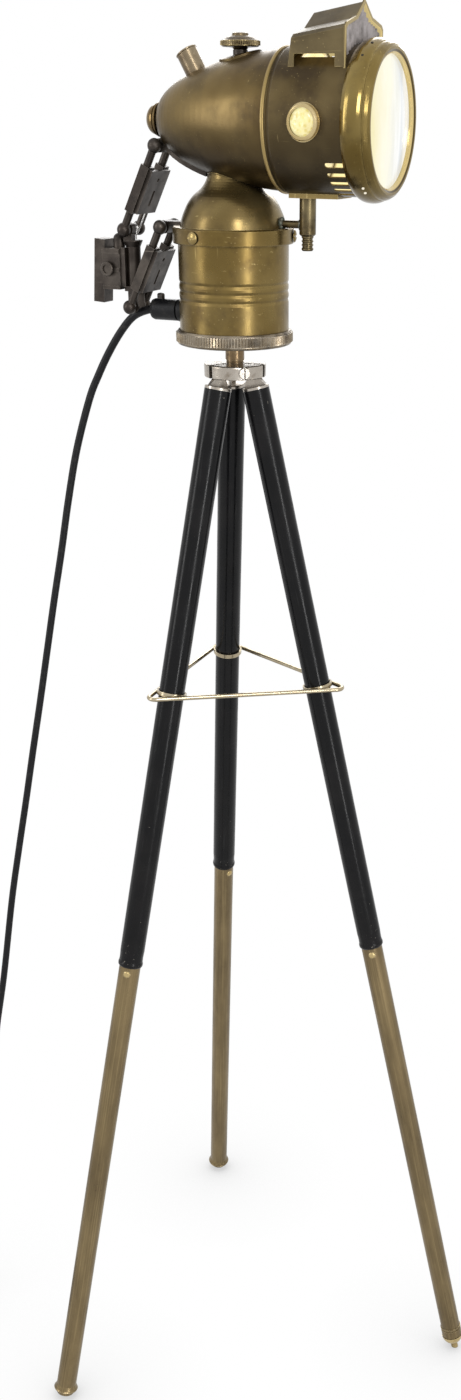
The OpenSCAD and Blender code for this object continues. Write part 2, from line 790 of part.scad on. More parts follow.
// Outside face of the drum as a solid, for what sits on it
module drum_solid() {
    $fn = 240;
    head_turned([
        [drum_x, 0], [drum_x, drum_r - 3], [drum_x + cone_len, drum_r], [spigot_x, drum_r], [spigot_x, 0]]);
}

module drum() {
    spigot = bullet_r - sheet - 0.25;
    color("peru") difference() {
        head_turned([
            [drum_x - 3, spigot], [drum_x, spigot], [drum_x, bullet_r + 0.3], [drum_x + 0.8, bullet_r + 0.3],
            [drum_x + cone_len, drum_r], [spigot_x, drum_r], [spigot_x, drum_in],
            [drum_x + cone_len + 0.3, drum_in], [drum_x + 0.8, spigot - sheet + 0.2],
            [drum_x - 3, spigot - sheet + 0.2]]);
        for (side = [-1, 1]) for (k = [0:4])
            translate([0, 0, head_z]) rotate([-side * (slot_first + k * slot_step), 0, 0])
                rotate([90 * side, 0, 0]) translate([slot_x + slot_w / 2, 0, -drum_r - 2]) {
                    cylinder(h = 6, d = slot_w);
                    translate([0, -slot_w / 2, 0])
                        cube([drum_end - slot_x - slot_w / 2 + 0.5, slot_w, 6]);
                }
        for (side = [-1, 1]) translate([jewel_x, 0, head_z]) rotate([90 * side, 0, 0])
            cylinder(h = drum_r + over, r = jewel_r - 1);
        translate([hood_foot + 7, -hood_w + 6, head_z]) cube([25, 2 * hood_w - 12, drum_r + 2]);
    }
}

module pipe_saddle() {
    color("goldenrod") difference() {
        translate([drum_x + cone_len + 0.4, -saddle_w, saddle_z]) cube([32.6, 2 * saddle_w, 4]);
        drum_solid();
    }
}

// Gas pipe: stands under the saddle, with a hose nozzle below and a branch back to the bell
module gas_pipe() {
    r = pipe_d / 2;
    nose = 3.75;
    height = saddle_z - pipe_bottom;
    color("goldenrod") difference() {
        union() {
            translate([pipe_x, 0, pipe_bottom - nozzle_len]) rotate_extrude() polygon(concat(
                [[0, 0], [nose - 0.6, 0], [nose, 0.8]],
                [for (k = [0:2]) each [
                    [nose, 1.6 + 2.2 * k], [nose - 0.5, 2 + 2.2 * k],
                    [nose - 0.5, 2.8 + 2.2 * k], [nose, 3.2 + 2.2 * k]]],
                [[nose, nozzle_len - 0.6], [r - 0.6, nozzle_len], [r, nozzle_len + 0.6],
                    [r, nozzle_len + height], [0, nozzle_len + height]]));
            rod([bell_r - 8, 0, branch_z], [pipe_x, 0, branch_z], branch_r);
        }
        translate([pipe_x, 0, pipe_bottom - nozzle_len - over]) cylinder(h = 24, r = 1.9);
        translate([0, 0, collar_top]) rotate_extrude()
            polygon(concat([[0, 0]], bell_line, [[0, bell_h]]));
    }
}

// Outline of the hood at one end: half width w, eaves, shoulder, step and peak above the axis
function hood_half(w, eave, peak) = [
    [w, hood_low], [w, eave], [shoulder_y * w / hood_w, eave + (peak - eave) * shoulder_share],
    [step_y * w / hood_w, eave + (peak - eave) * step_share], [0, peak]];
function hood_outline(w, eave, peak) = concat(
    hood_half(w, eave, peak), back([for (q = hood_half(w, eave, peak)) if (q[0] > 0) [-q[0], q[1]]]));

// Ruled block between a leaning rear outline and the flat front one
module hood_block(w, cut, lean, front) {
    rear = hood_outline(w, eave_rise - eave_fall - cut, peak_rise - hood_fall - cut);
    face = hood_outline(w, eave_rise - cut, peak_rise - cut * 1.3);
    n = len(face);
    points = concat(
        [for (q = rear)
            [hood_foot + lean + hood_lean * (q[1] - hood_low) / (peak_rise - hood_low), q[0], q[1]]],
        [for (q = face) [front, q[0], q[1]]]);
    walls = [for (k = [0:n - 1]) let (j = (k + 1) % n) each [[k, k + n, j], [j, k + n, j + n]]];
    ends = [[for (k = [0:n - 1]) k], [for (k = [n - 1:-1:0]) k + n]];
    polyhedron(points = points, faces = concat(ends, walls));
}

module hood() {
    color("peru") difference() {
        union() {
            translate([0, 0, head_z]) hood_block(hood_w, 0, 0, hood_front);
            translate([hood_front - 1.5, 0, head_z]) rotate([90, 0, 90]) linear_extrude(1.5)
                polygon(hood_outline(
                    hood_w + flange_out, eave_rise + flange_out * 0.8, peak_rise + flange_out));
        }
        translate([0, 0, head_z]) hood_block(hood_w - sheet, sheet, sheet, hood_front + over);
        translate([hood_foot - 5, 0, head_z]) rotate([0, 90, 0]) cylinder(h = 50, r = drum_r + seat);
        translate([hood_foot + 5, -hood_w - 2, head_z])
            cube([hood_front - hood_foot - 12, 2 * hood_w + 4, hood_open]);
    }
}

// Baffle: a sheet folded to and fro across the hood's mouth
module baffle() {
    half = hood_w - sheet - 0.2;
    n = 2 * floor(half / fold_pitch * 2);
    wave = [for (k = [0:n]) [baffle_x + (k % 2 == 0 ? 0.8 : -0.8), -half + 2 * half * k / n]];
    color("darkgray") difference() {
        intersection() {
            translate([0, 0, head_z]) linear_extrude(70)
                polygon(concat(wave, back([for (q = wave) q - [0.7, 0]])));
            translate([0, 0, head_z]) hood_block(half, sheet + 0.3, sheet, hood_front);
        }
        translate([baffle_x - 5, 0, head_z]) rotate([0, 90, 0]) cylinder(h = 10, r = drum_r + seat);
    }
}

module jewel_rings() {
    color("goldenrod") for (side = [-1, 1]) difference() {
        translate([jewel_x, 0, head_z]) rotate([90 * side, 0, 0]) difference() {
            union() {
                translate([0, 0, drum_r - 3]) cylinder(h = 4.2, r = jewel_r + 2.8);
                translate([0, 0, drum_r + 1]) rotate_extrude() polygon([
                    [0, 0], [jewel_r + 2.1, 0], [jewel_r + 2.1, 2.2], [jewel_r + 1.6, 2.9],
                    [jewel_r + 0.9, 3.2], [0, 3.2]]);
            }
            cylinder(h = 60, r = jewel_r - 1);
            translate([0, 0, jewel_seat]) cylinder(h = 10, r = jewel_r + seat);
        }
        drum_solid();
    }
}

module jewel_glasses() {
    color("lightyellow") for (side = [-1, 1])
        translate([jewel_x, 0, head_z]) rotate([90 * side, 0, 0]) translate([0, 0, jewel_seat])
            rotate_extrude() polygon(concat(
                [[0, 0], [jewel_r, 0], [jewel_r, 1.6]],
                [for (k = [1:6]) [jewel_r * cos(15 * k), 1.6 + 2.2 * sin(15 * k)]]));
}

module bezel() {
    r = drum_r;
    f = bezel_front;
    color("goldenrod") head_turned(concat(
        [[drum_end, bore_r], [drum_end, r + 0.8]],
        smooth([
            [drum_end + 0.4, r + 1.2], [drum_end + 3, r + 2.7], [drum_end + 6.5, r + 3.3],
            [drum_end + 10, r + 3], [f - 5.6, r + 1.9]], 3),
        [[f - 5.2, r + 1.4], [f - 4.6, r + 1.3], [f - 4.2, r + 1.6], [f - 3, r + 1.3], [f - 1.2, r + 0.2],
            [f, r - 1.4], [f, r - 2.6], [f - 0.7, r - 4], [f - 1.4, glass_open_r + 0.2],
            [f - 2.4, glass_open_r], [lip_x, glass_open_r], [lip_x, bore_r]]));
}

module front_glass() {
    rim = lip_x - seat;
    color("ivory") head_turned(concat(
        [[rim - glass_t, 0], [rim - glass_t, glass_r], [rim, glass_r]],
        [for (k = [0:8]) let (r = (glass_open_r - 0.4) * (8 - k) / 8)
            [rim + 1.9 * (1 - pow(r / glass_open_r, 2)), r]]));
}

module glass_ring() {
    x = lip_x - glass_t - 2 * seat;
    color("goldenrod") head_turned([
        [x - 1.6, bore_r - 3], [x - 1.6, bore_r - seat], [x, bore_r - seat], [x, bore_r - 3]]);
}

module reflector() {
    rim_x = dish_x + dish_depth;
    low = pow(dish_hole_r, 2);
    dish = [for (k = [0:10]) let (r = dish_hole_r + (dish_rim_r - dish_hole_r) * k / 10)
        [dish_x + dish_depth * (pow(r, 2) - low) / (pow(dish_rim_r, 2) - low), r]];
    front = [for (q = dish) if (q[1] < dish_rim_r - 1) [q[0] + dish_t, q[1] - 0.2]];
    color("white") head_turned(concat(
        [[dish_x, holder_r - 2]], dish,
        [[rim_x, drum_in - seat], [rim_x + dish_t, drum_in - seat], [rim_x + dish_t, dish_rim_r - 0.3]],
        back(front), [[dish_x + dish_t, holder_r - 2]]));
}

module bulb_holder() {
    rear = dish_x - holder_len;
    floor_x = dish_x - socket_depth;
    color("ivory") head_turned([
        [rear, flex_r + 0.1], [rear, holder_r - 1], [rear + 1, holder_r],
        [dish_x - 2, holder_r], [dish_x - 2, holder_r + 4], [dish_x - seat, holder_r + 4],
        [dish_x - seat, bulb_neck_r + 0.4], [floor_x, bulb_neck_r + 0.4], [floor_x, flex_r + 0.1]]);
}

// Bulb: a neck in the holder and a pear of glass; each pair is the way forward and the radius
module bulb() {
    b = dish_x - socket_depth + seat;
    neck = [[4, 0], [4, 5], [4.6, bulb_neck_r], [15, bulb_neck_r]];
    pear = smooth([[15.5, 6], [20, 8.4], [27, 13], [33, 15], [39, 14], [44, 9], [46, 0]], 3);
    color("lightyellow") head_turned([for (q = concat(neck, pear)) [b + q[0], q[1]]]);
}

// Lead inside the can, up the bell and into the back of the holder
module inner_flex() {
    path = smooth([
        [spigot_tip, 0, grip_z], [-26, 0, grip_z + 1], [-14, 0, grip_z + 9], [-4, 0, grip_z + 26],
        [0, 0, can_top - 12], [0, 0, can_top + 8], [0, 0, head_z - 40], [1, 0, head_z - 26],
        [5, 0, head_z - 12], [13, 0, head_z - 2], [dish_x - holder_len + 0.1, 0, head_z],
        [dish_x - socket_depth - 0.1, 0, head_z]], 4);
    color("black") swept(path, flex_r, 8, [0, 1, 0]);
}

// ---------- bracket ----------

// Places its children on a pivot: the eye's axis along Y
module at_pivot(p) {
    translate([p[0], 0, p[1]]) children();
}

module eye(w) {
    rotate([90, 0, 0]) cylinder(h = 2 * w, r = eye_r, center = true);
}

// Fills the bell, for what is fitted against its outside
module bell_solid() {
    translate([0, 0, collar_top]) rotate_extrude() polygon(concat([[0, -2]], bell_line, [[0, bell_h]]));
}

module bullet_lug() {
    step = (lug_front - lug_back) / 6;
    under = [for (k = [0:6]) let (x = lug_back + k * step) [x, head_z - bullet_at(x) - 2.2]];
    color("dimgray") difference() {
        union() {
            at_pivot(up_front) eye(eye_w);
            rotate([90, 0, 0]) linear_extrude(2 * eye_w, center = true) polygon(concat(
                [[up_front[0] - 2, up_front[1] + 3.4], [up_front[0] + 1, up_front[1] - eye_r]], under,
                [[under[6][0] + 0.8, under[6][1] + 6], [lug_back + 4, head_z - 4],
                    [up_front[0] + 3, up_front[1] + 4.6]]));
        }
        bullet_solid();
        bell_solid();
        at_pivot(up_front) rotate([90, 0, 0]) cylinder(h = 20, r = pin_r + seat, center = true);
        translate([tail_x, 0, head_z]) rotate([0, -90, 0]) cylinder(h = 20, r = acorn_flange_r + 0.3);
    }
}

module collar_lug() {
    color("dimgray") difference() {
        union() {
            at_pivot(low_front) eye(eye_w);
            translate([low_front[0], -eye_w, collar_top]) cube([16, 2 * eye_w, 2]);
        }
        bell_solid();
        translate([0, 0, collar_top - collar_h]) cylinder(h = collar_h, r = collar_r + seat);
        at_pivot(low_front) rotate([90, 0, 0]) cylinder(h = 20, r = pin_r + seat, center = true);
    }
}

module front_pins() {
    color("gray") for (p = [up_front, low_front])
        at_pivot(p) rotate([90, 0, 0]) cylinder(h = 2 * pin_reach, r = pin_r, center = true);
}

// Link: two arms with ball ends, joined by a plate across their middle
module link(front, rear_bore) {
    mid = -link_len / 2;
    color("dimgray") at_pivot(front) rotate([0, link_lean, 0]) difference() {
        union() {
            for (side = [-1, 1]) translate([0, side * arm_y, 0]) {
                sphere(r = link_ball_r);
                translate([0, 0, -link_len]) sphere(r = link_ball_r);
                translate([0, 0, -link_len]) cylinder(h = link_len, r = neck_r_link);
                translate([-channel_t / 2, -channel_w / 2, mid - channel_len / 2])
                    cube([channel_t + 1, channel_w, channel_len]);
            }
            translate([web_x, -arm_y, mid - channel_len / 2 + 1]) cube([web_t, 2 * arm_y, channel_len - 2]);
            for (side = [-1, 1]) translate([2, side * arm_y - 2.5, mid - channel_len / 2 + 1])
                cube([web_x + web_t - 2, 5, channel_len - 2]);
        }
        for (z = [-web_hole_at, 0, web_hole_at]) translate([0, 0, mid + z]) rotate([0, 90, 0])
            cylinder(h = 20, r = web_hole_r);
        translate([0, -web_hole_r, mid - web_hole_at]) cube([20, 2 * web_hole_r, web_hole_at]);
        rotate([90, 0, 0]) cylinder(h = 2 * (pin_reach + 0.2), r = pin_r + fit, center = true);
        translate([0, 0, -link_len]) rotate([90, 0, 0])
            cylinder(h = 2 * (pin_reach + 0.2), r = rear_bore, center = true);
    }
}

module upper_link() {
    link(up_front, pin_r + fit);
}

// The lower link's rear bores are wide: it is the pivot where the linkage's ring is open
module lower_link() {
    link(low_front, pin_r + open_gap);
}

// Rear block: upper eye with a cup below it, a round barrel, and a fork for the lower link
module rear_block() {
    color("dimgray") difference() {
        union() {
            at_pivot(up_rear) {
                translate([0, -0.4, 0]) rotate([90, 0, 0]) cylinder(h = eye_w - 0.4, r = eye_r);
                rotate([90, 0, 0]) cylinder(h = 2 * pin_reach, r = pin_r, center = true);
                translate([-3, -eye_w, -cup_drop - 1]) cube([6, eye_w - 0.4, cup_drop + 1]);
            }
            translate([barrel_x, 0, 0]) rotate_extrude() polygon([
                [0, barrel_bottom], [barrel_r, barrel_bottom], [barrel_r, barrel_top - 4],
                [barrel_lip, barrel_top - 0.6], [barrel_lip, barrel_top], [0, barrel_top]]);
            translate([barrel_x - barrel_r, -eye_w, barrel_bottom - 2])
                cube([2 * barrel_r, 2 * eye_w, 2 + block_over]);
            for (side = [-1, 1]) {
                at_pivot(low_rear) translate([0, side * (ear_in + eye_w) / 2, 0]) rotate([90, 0, 0])
                    cylinder(h = eye_w - ear_in, r = eye_r, center = true);
                at_pivot(low_rear) translate([-3.4, side > 0 ? ear_in : -eye_w, 0])
                    cube([6.8, eye_w - ear_in, barrel_bottom - low_rear[1] - 1]);
                at_pivot(low_rear) translate([0, side > 0 ? pin_reach : -ear_in, 0]) rotate([90, 0, 0])
                    cylinder(h = pin_reach - ear_in, r = pin_r);
            }
        }
    }
}

// Helix of the spring, from its leg on the cup, round the pin, to its leg on the link
function spring_point(a) = [
    up_rear[0] + spring_r * cos(a), spring_wire + spring_pitch * a / 360, up_rear[1] + spring_r * sin(a)];
spring_steps = ceil(spring_turns * 8);
spring_coil = [for (k = [0:spring_steps]) spring_point(360 * spring_turns * k / spring_steps)];
spring_end = spring_coil[spring_steps];
link_dir = [-link_dx / link_len, 0, -link_dz / link_len];
spring_path = concat(
    [spring_coil[0] - [0, 0, spring_leg_down], spring_coil[0] - [0, 0, 1]],
    spring_coil, [spring_end + link_dir, spring_end + spring_leg_up * link_dir]);

module link_spring() {
    color("gray") swept(spring_path, spring_wire, 6, [0, 1, 0]);
}

// Socket: a plate on the barrel, a ribbed body with the bracket slot and a bar beside it
module socket() {
    low = socket_z - socket_h / 2;
    half = socket_t / 2;
    plate_low = barrel_bottom + block_over + face_gap;
    color("dimgray") difference() {
        union() {
            translate([socket_x + half + 0.25, -7, plate_low])
                cube([3.6, 14, low + socket_h + 0.5 - plate_low]);
            translate([socket_x - half, -8, low]) cube([socket_t + 0.5, 16, socket_h]);
            for (k = [0:2]) translate([socket_x - half, -8.6, low + k * rib_step])
                cube([socket_t, 17.2, rib_h]);
            translate([socket_x - half - bar_t / 2 + 0.1, 0, socket_z - 1.6]) rotate([0, bar_tilt, 0])
                cube([bar_t, bar_w, bar_len], center = true);
            translate([post_x, 0, low + socket_h - 1]) {
                cylinder(h = 6, r = post_r);
                translate([0, 0, 6]) sphere(r = post_r);
            }
        }
        translate([bracket_x, -socket_slot / 2, low - 10]) cube([bracket_t, socket_slot, socket_h + 20]);
        translate([barrel_x, 0, low - 10]) cylinder(h = socket_h + 20, r = barrel_r + seat);
        translate([bolt_x, 0, socket_z]) rotate([90, 0, 0]) cylinder(h = 20, r = bolt_r + fit);
    }
}

module socket_bolt() {
    tip = socket_slot / 2 + 0.1;
    head = 8.7 - tip;
    color("gray") translate([bolt_x, -tip, socket_z]) rotate([90, 0, 0]) difference() {
        union() {
            cylinder(h = head + 1, r = bolt_r);
            translate([0, 0, head]) rotate_extrude() polygon([
                [0, 0], [bolt_head_r - 0.4, 0], [bolt_head_r, 0.4], [bolt_head_r, 1.8],
                [bolt_head_r - 0.4, 2.2], [0, 2.2]]);
        }
        translate([0, 0, head + 1.2]) cylinder(h = 3, r = 2.8);
    }
}

// ---------- cord ----------

module cord_grip() {
    r = grip_d / 2;
    x = grip_x;
    color("black") difference() {
        translate([0, 0, grip_z]) rotate([0, -90, 0]) rotate_extrude() polygon([
            [0, -spigot_tip], [spigot_r, -spigot_tip], [spigot_r, -x], [7, -x], [7, 4 - x],
            [r - 1, 4 - x], [r - 1, 5 - x], [r, 5.4 - x], [r, -grip_end - 2.5],
            [r - 0.6, -grip_end - 0.8], [r - 2, -grip_end], [0, -grip_end]]);
        translate([grip_end + grip_bore, 0, grip_z]) rotate([0, -90, 0])
            cylinder(h = grip_bore + over, r = cord_r + cord_slack);
        translate([grip_end + 6.4, 0, grip_z + cord_r + 1]) cylinder(h = 10, r = 1.5 + seat);
    }
}

module grip_screw() {
    head = grip_z + grip_d / 2;
    color("silver") translate([grip_end + 6.4, 0, 0]) difference() {
        union() {
            translate([0, 0, grip_z + cord_r + 1.02]) cylinder(h = head - grip_z - cord_r, r = 1.5);
            translate([0, 0, head + seat]) rotate_extrude() polygon([
                [0, 0], [2.5, 0], [2.5, 2.4], [2, 3.2], [0, 3.6]]);
        }
        translate([-4, -0.4, head + 2.8]) cube([8, 0.8, 2]);
    }
}

module cord_drop() {
    path = smooth(cord_points, 3);
    color("black") swept(path, cord_r, 8, [0, 1, 0]);
}

// Coil: spirals in on the floor, climbs a layer in the half turn where it reverses, spirals out
coil_total = 2 * coil_turns * 360;
function coil_point(a) =
    let (
        r = coil_in_r + coil_pitch * abs(a - coil_total / 2) / 360,
        up = min(1, max(0, (a - coil_total / 2 + 90) / 180)),
        az = cord_heading - 90 + a)
    [coil_mid[0] + r * cos(az), coil_mid[1] + r * sin(az), cord_r + coil_pitch * up];
coil_steps = ceil(coil_total / 360 * coil_rings);
coil_loops = [for (k = [0:coil_steps]) coil_point(coil_total * k / coil_steps)];
coil_last = coil_loops[coil_steps];
tail_az = cord_heading + coil_total;
tail_dir = [cos(tail_az), sin(tail_az), 0];
plug_z = plug_t / 2;
plug_at = [coil_last[0], coil_last[1], plug_z] + tail_drop * tail_dir;
coil_path = concat(
    [coil_from, coil_from + 0.5 * cord_d * [cos(cord_heading), sin(cord_heading), 0]],
    coil_loops,
    smooth([coil_last, coil_last + 12 * tail_dir - [0, 0, 0.3], plug_at - cord_d * tail_dir, plug_at], 3));

module cord_coil() {
    color("black") swept(coil_path, cord_r, 6, [0, 0, 1]);
}

// Least gap of a wound tube to itself, leaving out neighbours within three diameters along it
function own_gap(p, d) =
    let (run = [
        for (i = 0, s = 0; i < len(p); s = s + (i + 1 < len(p) ? norm(p[i + 1] - p[i]) : 0), i = i + 1)
            s])
    min([for (i = [0:len(p) - 1]) for (j = [i + 1:1:len(p) - 1]) if (run[j] - run[i] > 3 * d)
        norm(p[j] - p[i]) - d]);
echo(coil_gap = own_gap(coil_path, cord_d), spring_gap = own_gap(spring_path, 2 * spring_wire));

module on_plug() {
    translate(plug_at) rotate([0, 0, tail_az]) children();
}

// Plug: a flat moulded body, narrower at the cord
module plug_body() {
    l = plug_len_body;
    w = plug_w / 2;
    color("black") on_plug() difference() {
        intersection() {
            translate([0, 0, -plug_z]) linear_extrude(plug_t) polygon(concat(
                [[0, -5], [4, -6.5]], [[14, 2 - w], [18, -w], [l - 1, -w], [l, 1 - w]],
                [[l, w - 1], [l - 1, w], [18, w], [14, w - 2]], [[4, 6.5], [0, 5]]));
            rotate([90, 0, 0]) linear_extrude(plug_w + 2, center = true) polygon([
                [0, -plug_z + 1.8], [3, -plug_z + 0.4], [10, -plug_z], [l - 0.8, -plug_z], [l, 0.8 - plug_z],
                [l, plug_z - 0.8], [l - 0.8, plug_z], [10, plug_z], [3, plug_z - 0.4], [0, plug_z - 1.8]]);
        }
        for (side = [-1, 1]) translate([l - 8, side * plug_pin_gap / 2, 0]) rotate([0, 90, 0])
            cylinder(h = 10, r = plug_pin_r + seat);
    }
}

module plug_pins() {
    color("silver") on_plug() for (side = [-1, 1])
        translate([plug_len_body - 8 + seat, side * plug_pin_gap / 2, 0]) rotate([0, 90, 0]) {
            cylinder(h = 8 + plug_pin_len - 1.5, r = plug_pin_r);
            translate([0, 0, 6.5 + plug_pin_len]) cylinder(h = 1.5, r1 = plug_pin_r, r2 = plug_pin_r - 0.9);
        }
}

// ---------- nodes ----------

// Turn of each leg's catch about its tube, away from outward
catch_turn = [-75, 41, -150];

crown();
crown_screw();
leg_pins();
stub();
stub_nut();
leg_cap(leg_az[0]);  // leg_cap_front
leg_cap(leg_az[1]);  // leg_cap_right
leg_cap(leg_az[2]);  // leg_cap_left
upper_tube(leg_az[0]);  // upper_tube_front
upper_tube(leg_az[1]);  // upper_tube_right
upper_tube(leg_az[2]);  // upper_tube_left
lower_tube(leg_az[0], catch_turn[0], false);  // lower_tube_front
lower_tube(leg_az[1], catch_turn[1], true);  // lower_tube_right
lower_tube(leg_az[2], catch_turn[2], true);  // lower_tube_left
catch(leg_az[0], catch_turn[0]);  // catch_front
catch(leg_az[1], catch_turn[1]);  // catch_right
catch(leg_az[2], catch_turn[2]);  // catch_left
foot_ball(leg_az[0]);  // foot_ball_front
inner_tube(leg_az[1]);  // inner_tube_right
inner_tube(leg_az[2]);  // inner_tube_left
spreader();
base_cap();
can();
collar();
collar_screws();
bell();
bullet();
acorn_nut();
filler_tube();
valve_gland();
valve_knob();
drum();
pipe_saddle();
gas_pipe();
hood();
baffle();
jewel_rings();
jewel_glasses();
bezel();
front_glass();
glass_ring();
reflector();
bulb_holder();
bulb();
inner_flex();
bullet_lug();
collar_lug();
front_pins();
upper_link();
lower_link();
rear_block();
link_spring();
socket();
socket_bolt();
cord_grip();
grip_screw();
cord_drop();
cord_coil();
plug_body();
plug_pins();
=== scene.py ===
import bpy
from math import atan2, ceil, cos, pi, radians, sin, sqrt
from mathutils import Matrix, Vector


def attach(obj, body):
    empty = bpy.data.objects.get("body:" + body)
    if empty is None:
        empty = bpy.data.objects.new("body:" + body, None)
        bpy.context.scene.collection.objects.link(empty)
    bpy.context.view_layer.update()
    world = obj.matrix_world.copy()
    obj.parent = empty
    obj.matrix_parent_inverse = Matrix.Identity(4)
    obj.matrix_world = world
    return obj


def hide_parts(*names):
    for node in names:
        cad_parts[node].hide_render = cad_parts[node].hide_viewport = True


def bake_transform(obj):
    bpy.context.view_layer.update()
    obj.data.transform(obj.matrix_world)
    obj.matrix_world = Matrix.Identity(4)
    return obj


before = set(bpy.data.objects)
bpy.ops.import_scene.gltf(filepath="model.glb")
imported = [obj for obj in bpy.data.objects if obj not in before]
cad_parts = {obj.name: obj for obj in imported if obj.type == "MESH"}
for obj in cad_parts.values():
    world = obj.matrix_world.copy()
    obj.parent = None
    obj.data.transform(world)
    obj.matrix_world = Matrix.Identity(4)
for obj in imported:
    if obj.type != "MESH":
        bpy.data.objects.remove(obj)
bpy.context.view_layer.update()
scene = bpy.context.scene
scene.view_settings.view_transform = "Standard"

# ---------- Camera ----------
# A long view from the lamp's right front, a little above the crown, aimed down at the feet.
# The shift keeps the whole lamp in the upright frame.
camera_data = bpy.data.cameras.new("camera")
camera_data.sensor_width = 36
camera_data.lens = 39.78
camera_data.shift_x = -0.0496
camera_data.shift_y = 0.1557
camera_data.clip_end = 20
camera = bpy.data.objects.new("camera", camera_data)
camera.matrix_world = (
    Matrix.Translation((0.4642, -0.9731, 0.9524))
    @ Matrix.Rotation(radians(23.08), 4, "Z")
    @ Matrix.Rotation(radians(62.16), 4, "X")
    @ Matrix.Rotation(radians(0.40), 4, "Z")
)
scene.collection.objects.link(camera)
scene.camera = camera


# ---------- Mains cord ----------
# Round black flex, 5.2 mm thick, that hangs from the grip on the can down to the floor.
# The spare length is wound there in two flat layers of turns, with the plug beside them.
def add(tree, kind, values=None, **settings):
    """Adds a node to the tree, with its settings and the values or links of its inputs"""
    node = tree.nodes.new(kind)
    for key, value in settings.items():
        setattr(node, key, value)
    for key, value in (values or {}).items():
        if isinstance(value, bpy.types.NodeSocket):
            tree.links.new(value, node.inputs[key])
        else:
            node.inputs[key].default_value = value
    return node


def finish_of(name, metallic=0.0, roughness=0.5):
    """A new material: its node tree, its shader and the place on the object"""
    material = bpy.data.materials.new(name)
    material.use_nodes = True
    tree = material.node_tree
    shader = tree.nodes["Principled BSDF"]
    shader.inputs["Metallic"].default_value = metallic
    shader.inputs["Roughness"].default_value = roughness
    place = add(tree, "ShaderNodeTexCoord").outputs["Object"]
    return material, tree, shader, place


def noise(tree, place, per_metre, detail=4.0, stretch=(1, 1, 1), twist=0.0):
    """Cloudy variation with that many clouds to the metre, drawn out along an axis by stretch"""
    turned = add(
        tree, "ShaderNodeMapping", {"Vector": place, "Scale": stretch, "Rotation": (0, twist, 0)}
    )
    made = add(
        tree,
        "ShaderNodeTexNoise",
        {"Vector": turned.outputs[0], "Scale": per_metre, "Detail": detail, "Roughness": 0.6},
    )
    return made.outputs["Fac"]


def between(tree, value, low, high, to_low=0.0, to_high=1.0):
    """The value carried from low..high to to_low..to_high, and held there beyond"""
    made = add(
        tree,
        "ShaderNodeMapRange",
        {"Value": value, "From Min": low, "From Max": high, "To Min": to_low, "To Max": to_high},
    )
    return made.outputs["Result"]


def blend_colour(tree, share, first, second):
    """The first colour, giving way to the second one as share goes from 0 to 1"""
    made = tree.nodes.new("ShaderNodeMix")
    made.data_type = "RGBA"
    for socket, value in ((0, share), (6, first), (7, second)):
        if isinstance(value, bpy.types.NodeSocket):
            tree.links.new(value, made.inputs[socket])
        else:
            made.inputs[socket].default_value = (*value, 1) if socket else value
    return made.outputs[2]


def times(tree, a, b):
    """The product of two values"""
    return add(tree, "ShaderNodeMath", {0: a, 1: b}, operation="MULTIPLY").outputs[0]


def larger(tree, a, b):
    """The larger of two values"""
    return add(tree, "ShaderNodeMath", {0: a, 1: b}, operation="MAXIMUM").outputs[0]


def along(tree, vector, axis):
    """The vector's X, Y or Z"""
    return add(tree, "ShaderNodeSeparateXYZ", {0: vector}).outputs[axis]


def relief(tree, shader, height, depth, strength=1.0, before=None):
    """Raises the surface by that depth in metres where height is 1"""
    values = {"Height": height, "Distance": depth, "Strength": strength}
    if before:
        values["Normal"] = before
    made = add(tree, "ShaderNodeBump", values)
    tree.links.new(made.outputs[0], shader.inputs["Normal"])
    return made.outputs[0]


def soft_line(points, steps):
    """A smooth line through the points, with that many steps between two of them"""
    line = []
    for i in range(len(points) - 1):
        a, b, c, d = (Vector(points[max(0, min(i + k, len(points) - 1))]) for k in (-1, 0, 1, 2))
        for k in range(steps):
            t = k / steps
            line.append(
                0.5
                * (
                    2 * b
                    + (c - a) * t
                    + (2 * a - 5 * b + 4 * c - d) * t**2
                    + (3 * b - a - 3 * c + d) * t**3
                )
            )
    return line + [Vector(points[-1])]


def tree_with(name, sizes):
    """A Geometry Nodes tree with those named sizes, a path that comes in and a Material input"""
    tree = bpy.data.node_groups.new(name, "GeometryNodeTree")
    tree.interface.new_socket("Path", in_out="INPUT", socket_type="NodeSocketGeometry")
    for size, kind in sizes.items():
        tree.interface.new_socket(size, in_out="INPUT", socket_type=kind)
    tree.interface.new_socket("Material", in_out="INPUT", socket_type="NodeSocketMaterial")
    tree.interface.new_socket("Piece", in_out="OUTPUT", socket_type="NodeSocketGeometry")
    inputs = tree.nodes.new("NodeGroupInput").outputs
    return tree, inputs


def end_tree(tree, geometry, material):
    """Ends the tree in Realize Instances, Set Shade Smooth and Set Material"""
    real = add(tree, "GeometryNodeRealizeInstances", {"Geometry": geometry})
    smooth = add(tree, "GeometryNodeSetShadeSmooth", {"Geometry": real.outputs[0]})
    dressed = add(
        tree, "GeometryNodeSetMaterial", {"Geometry": smooth.outputs[0], "Material": material}
    )
    add(tree, "NodeGroupOutput", {0: dressed.outputs[0]})


def path_curve(points, closed=False):
    """A curve with one straight-edged spline through the points"""
    data = bpy.data.curves.new("path", "CURVE")
    data.dimensions = "3D"
    spline = data.splines.new("POLY")
    spline.points.add(len(points) - 1)
    for point, place in zip(spline.points, points):
        point.co = (*place, 1)
    spline.use_cyclic_u = closed
    return data


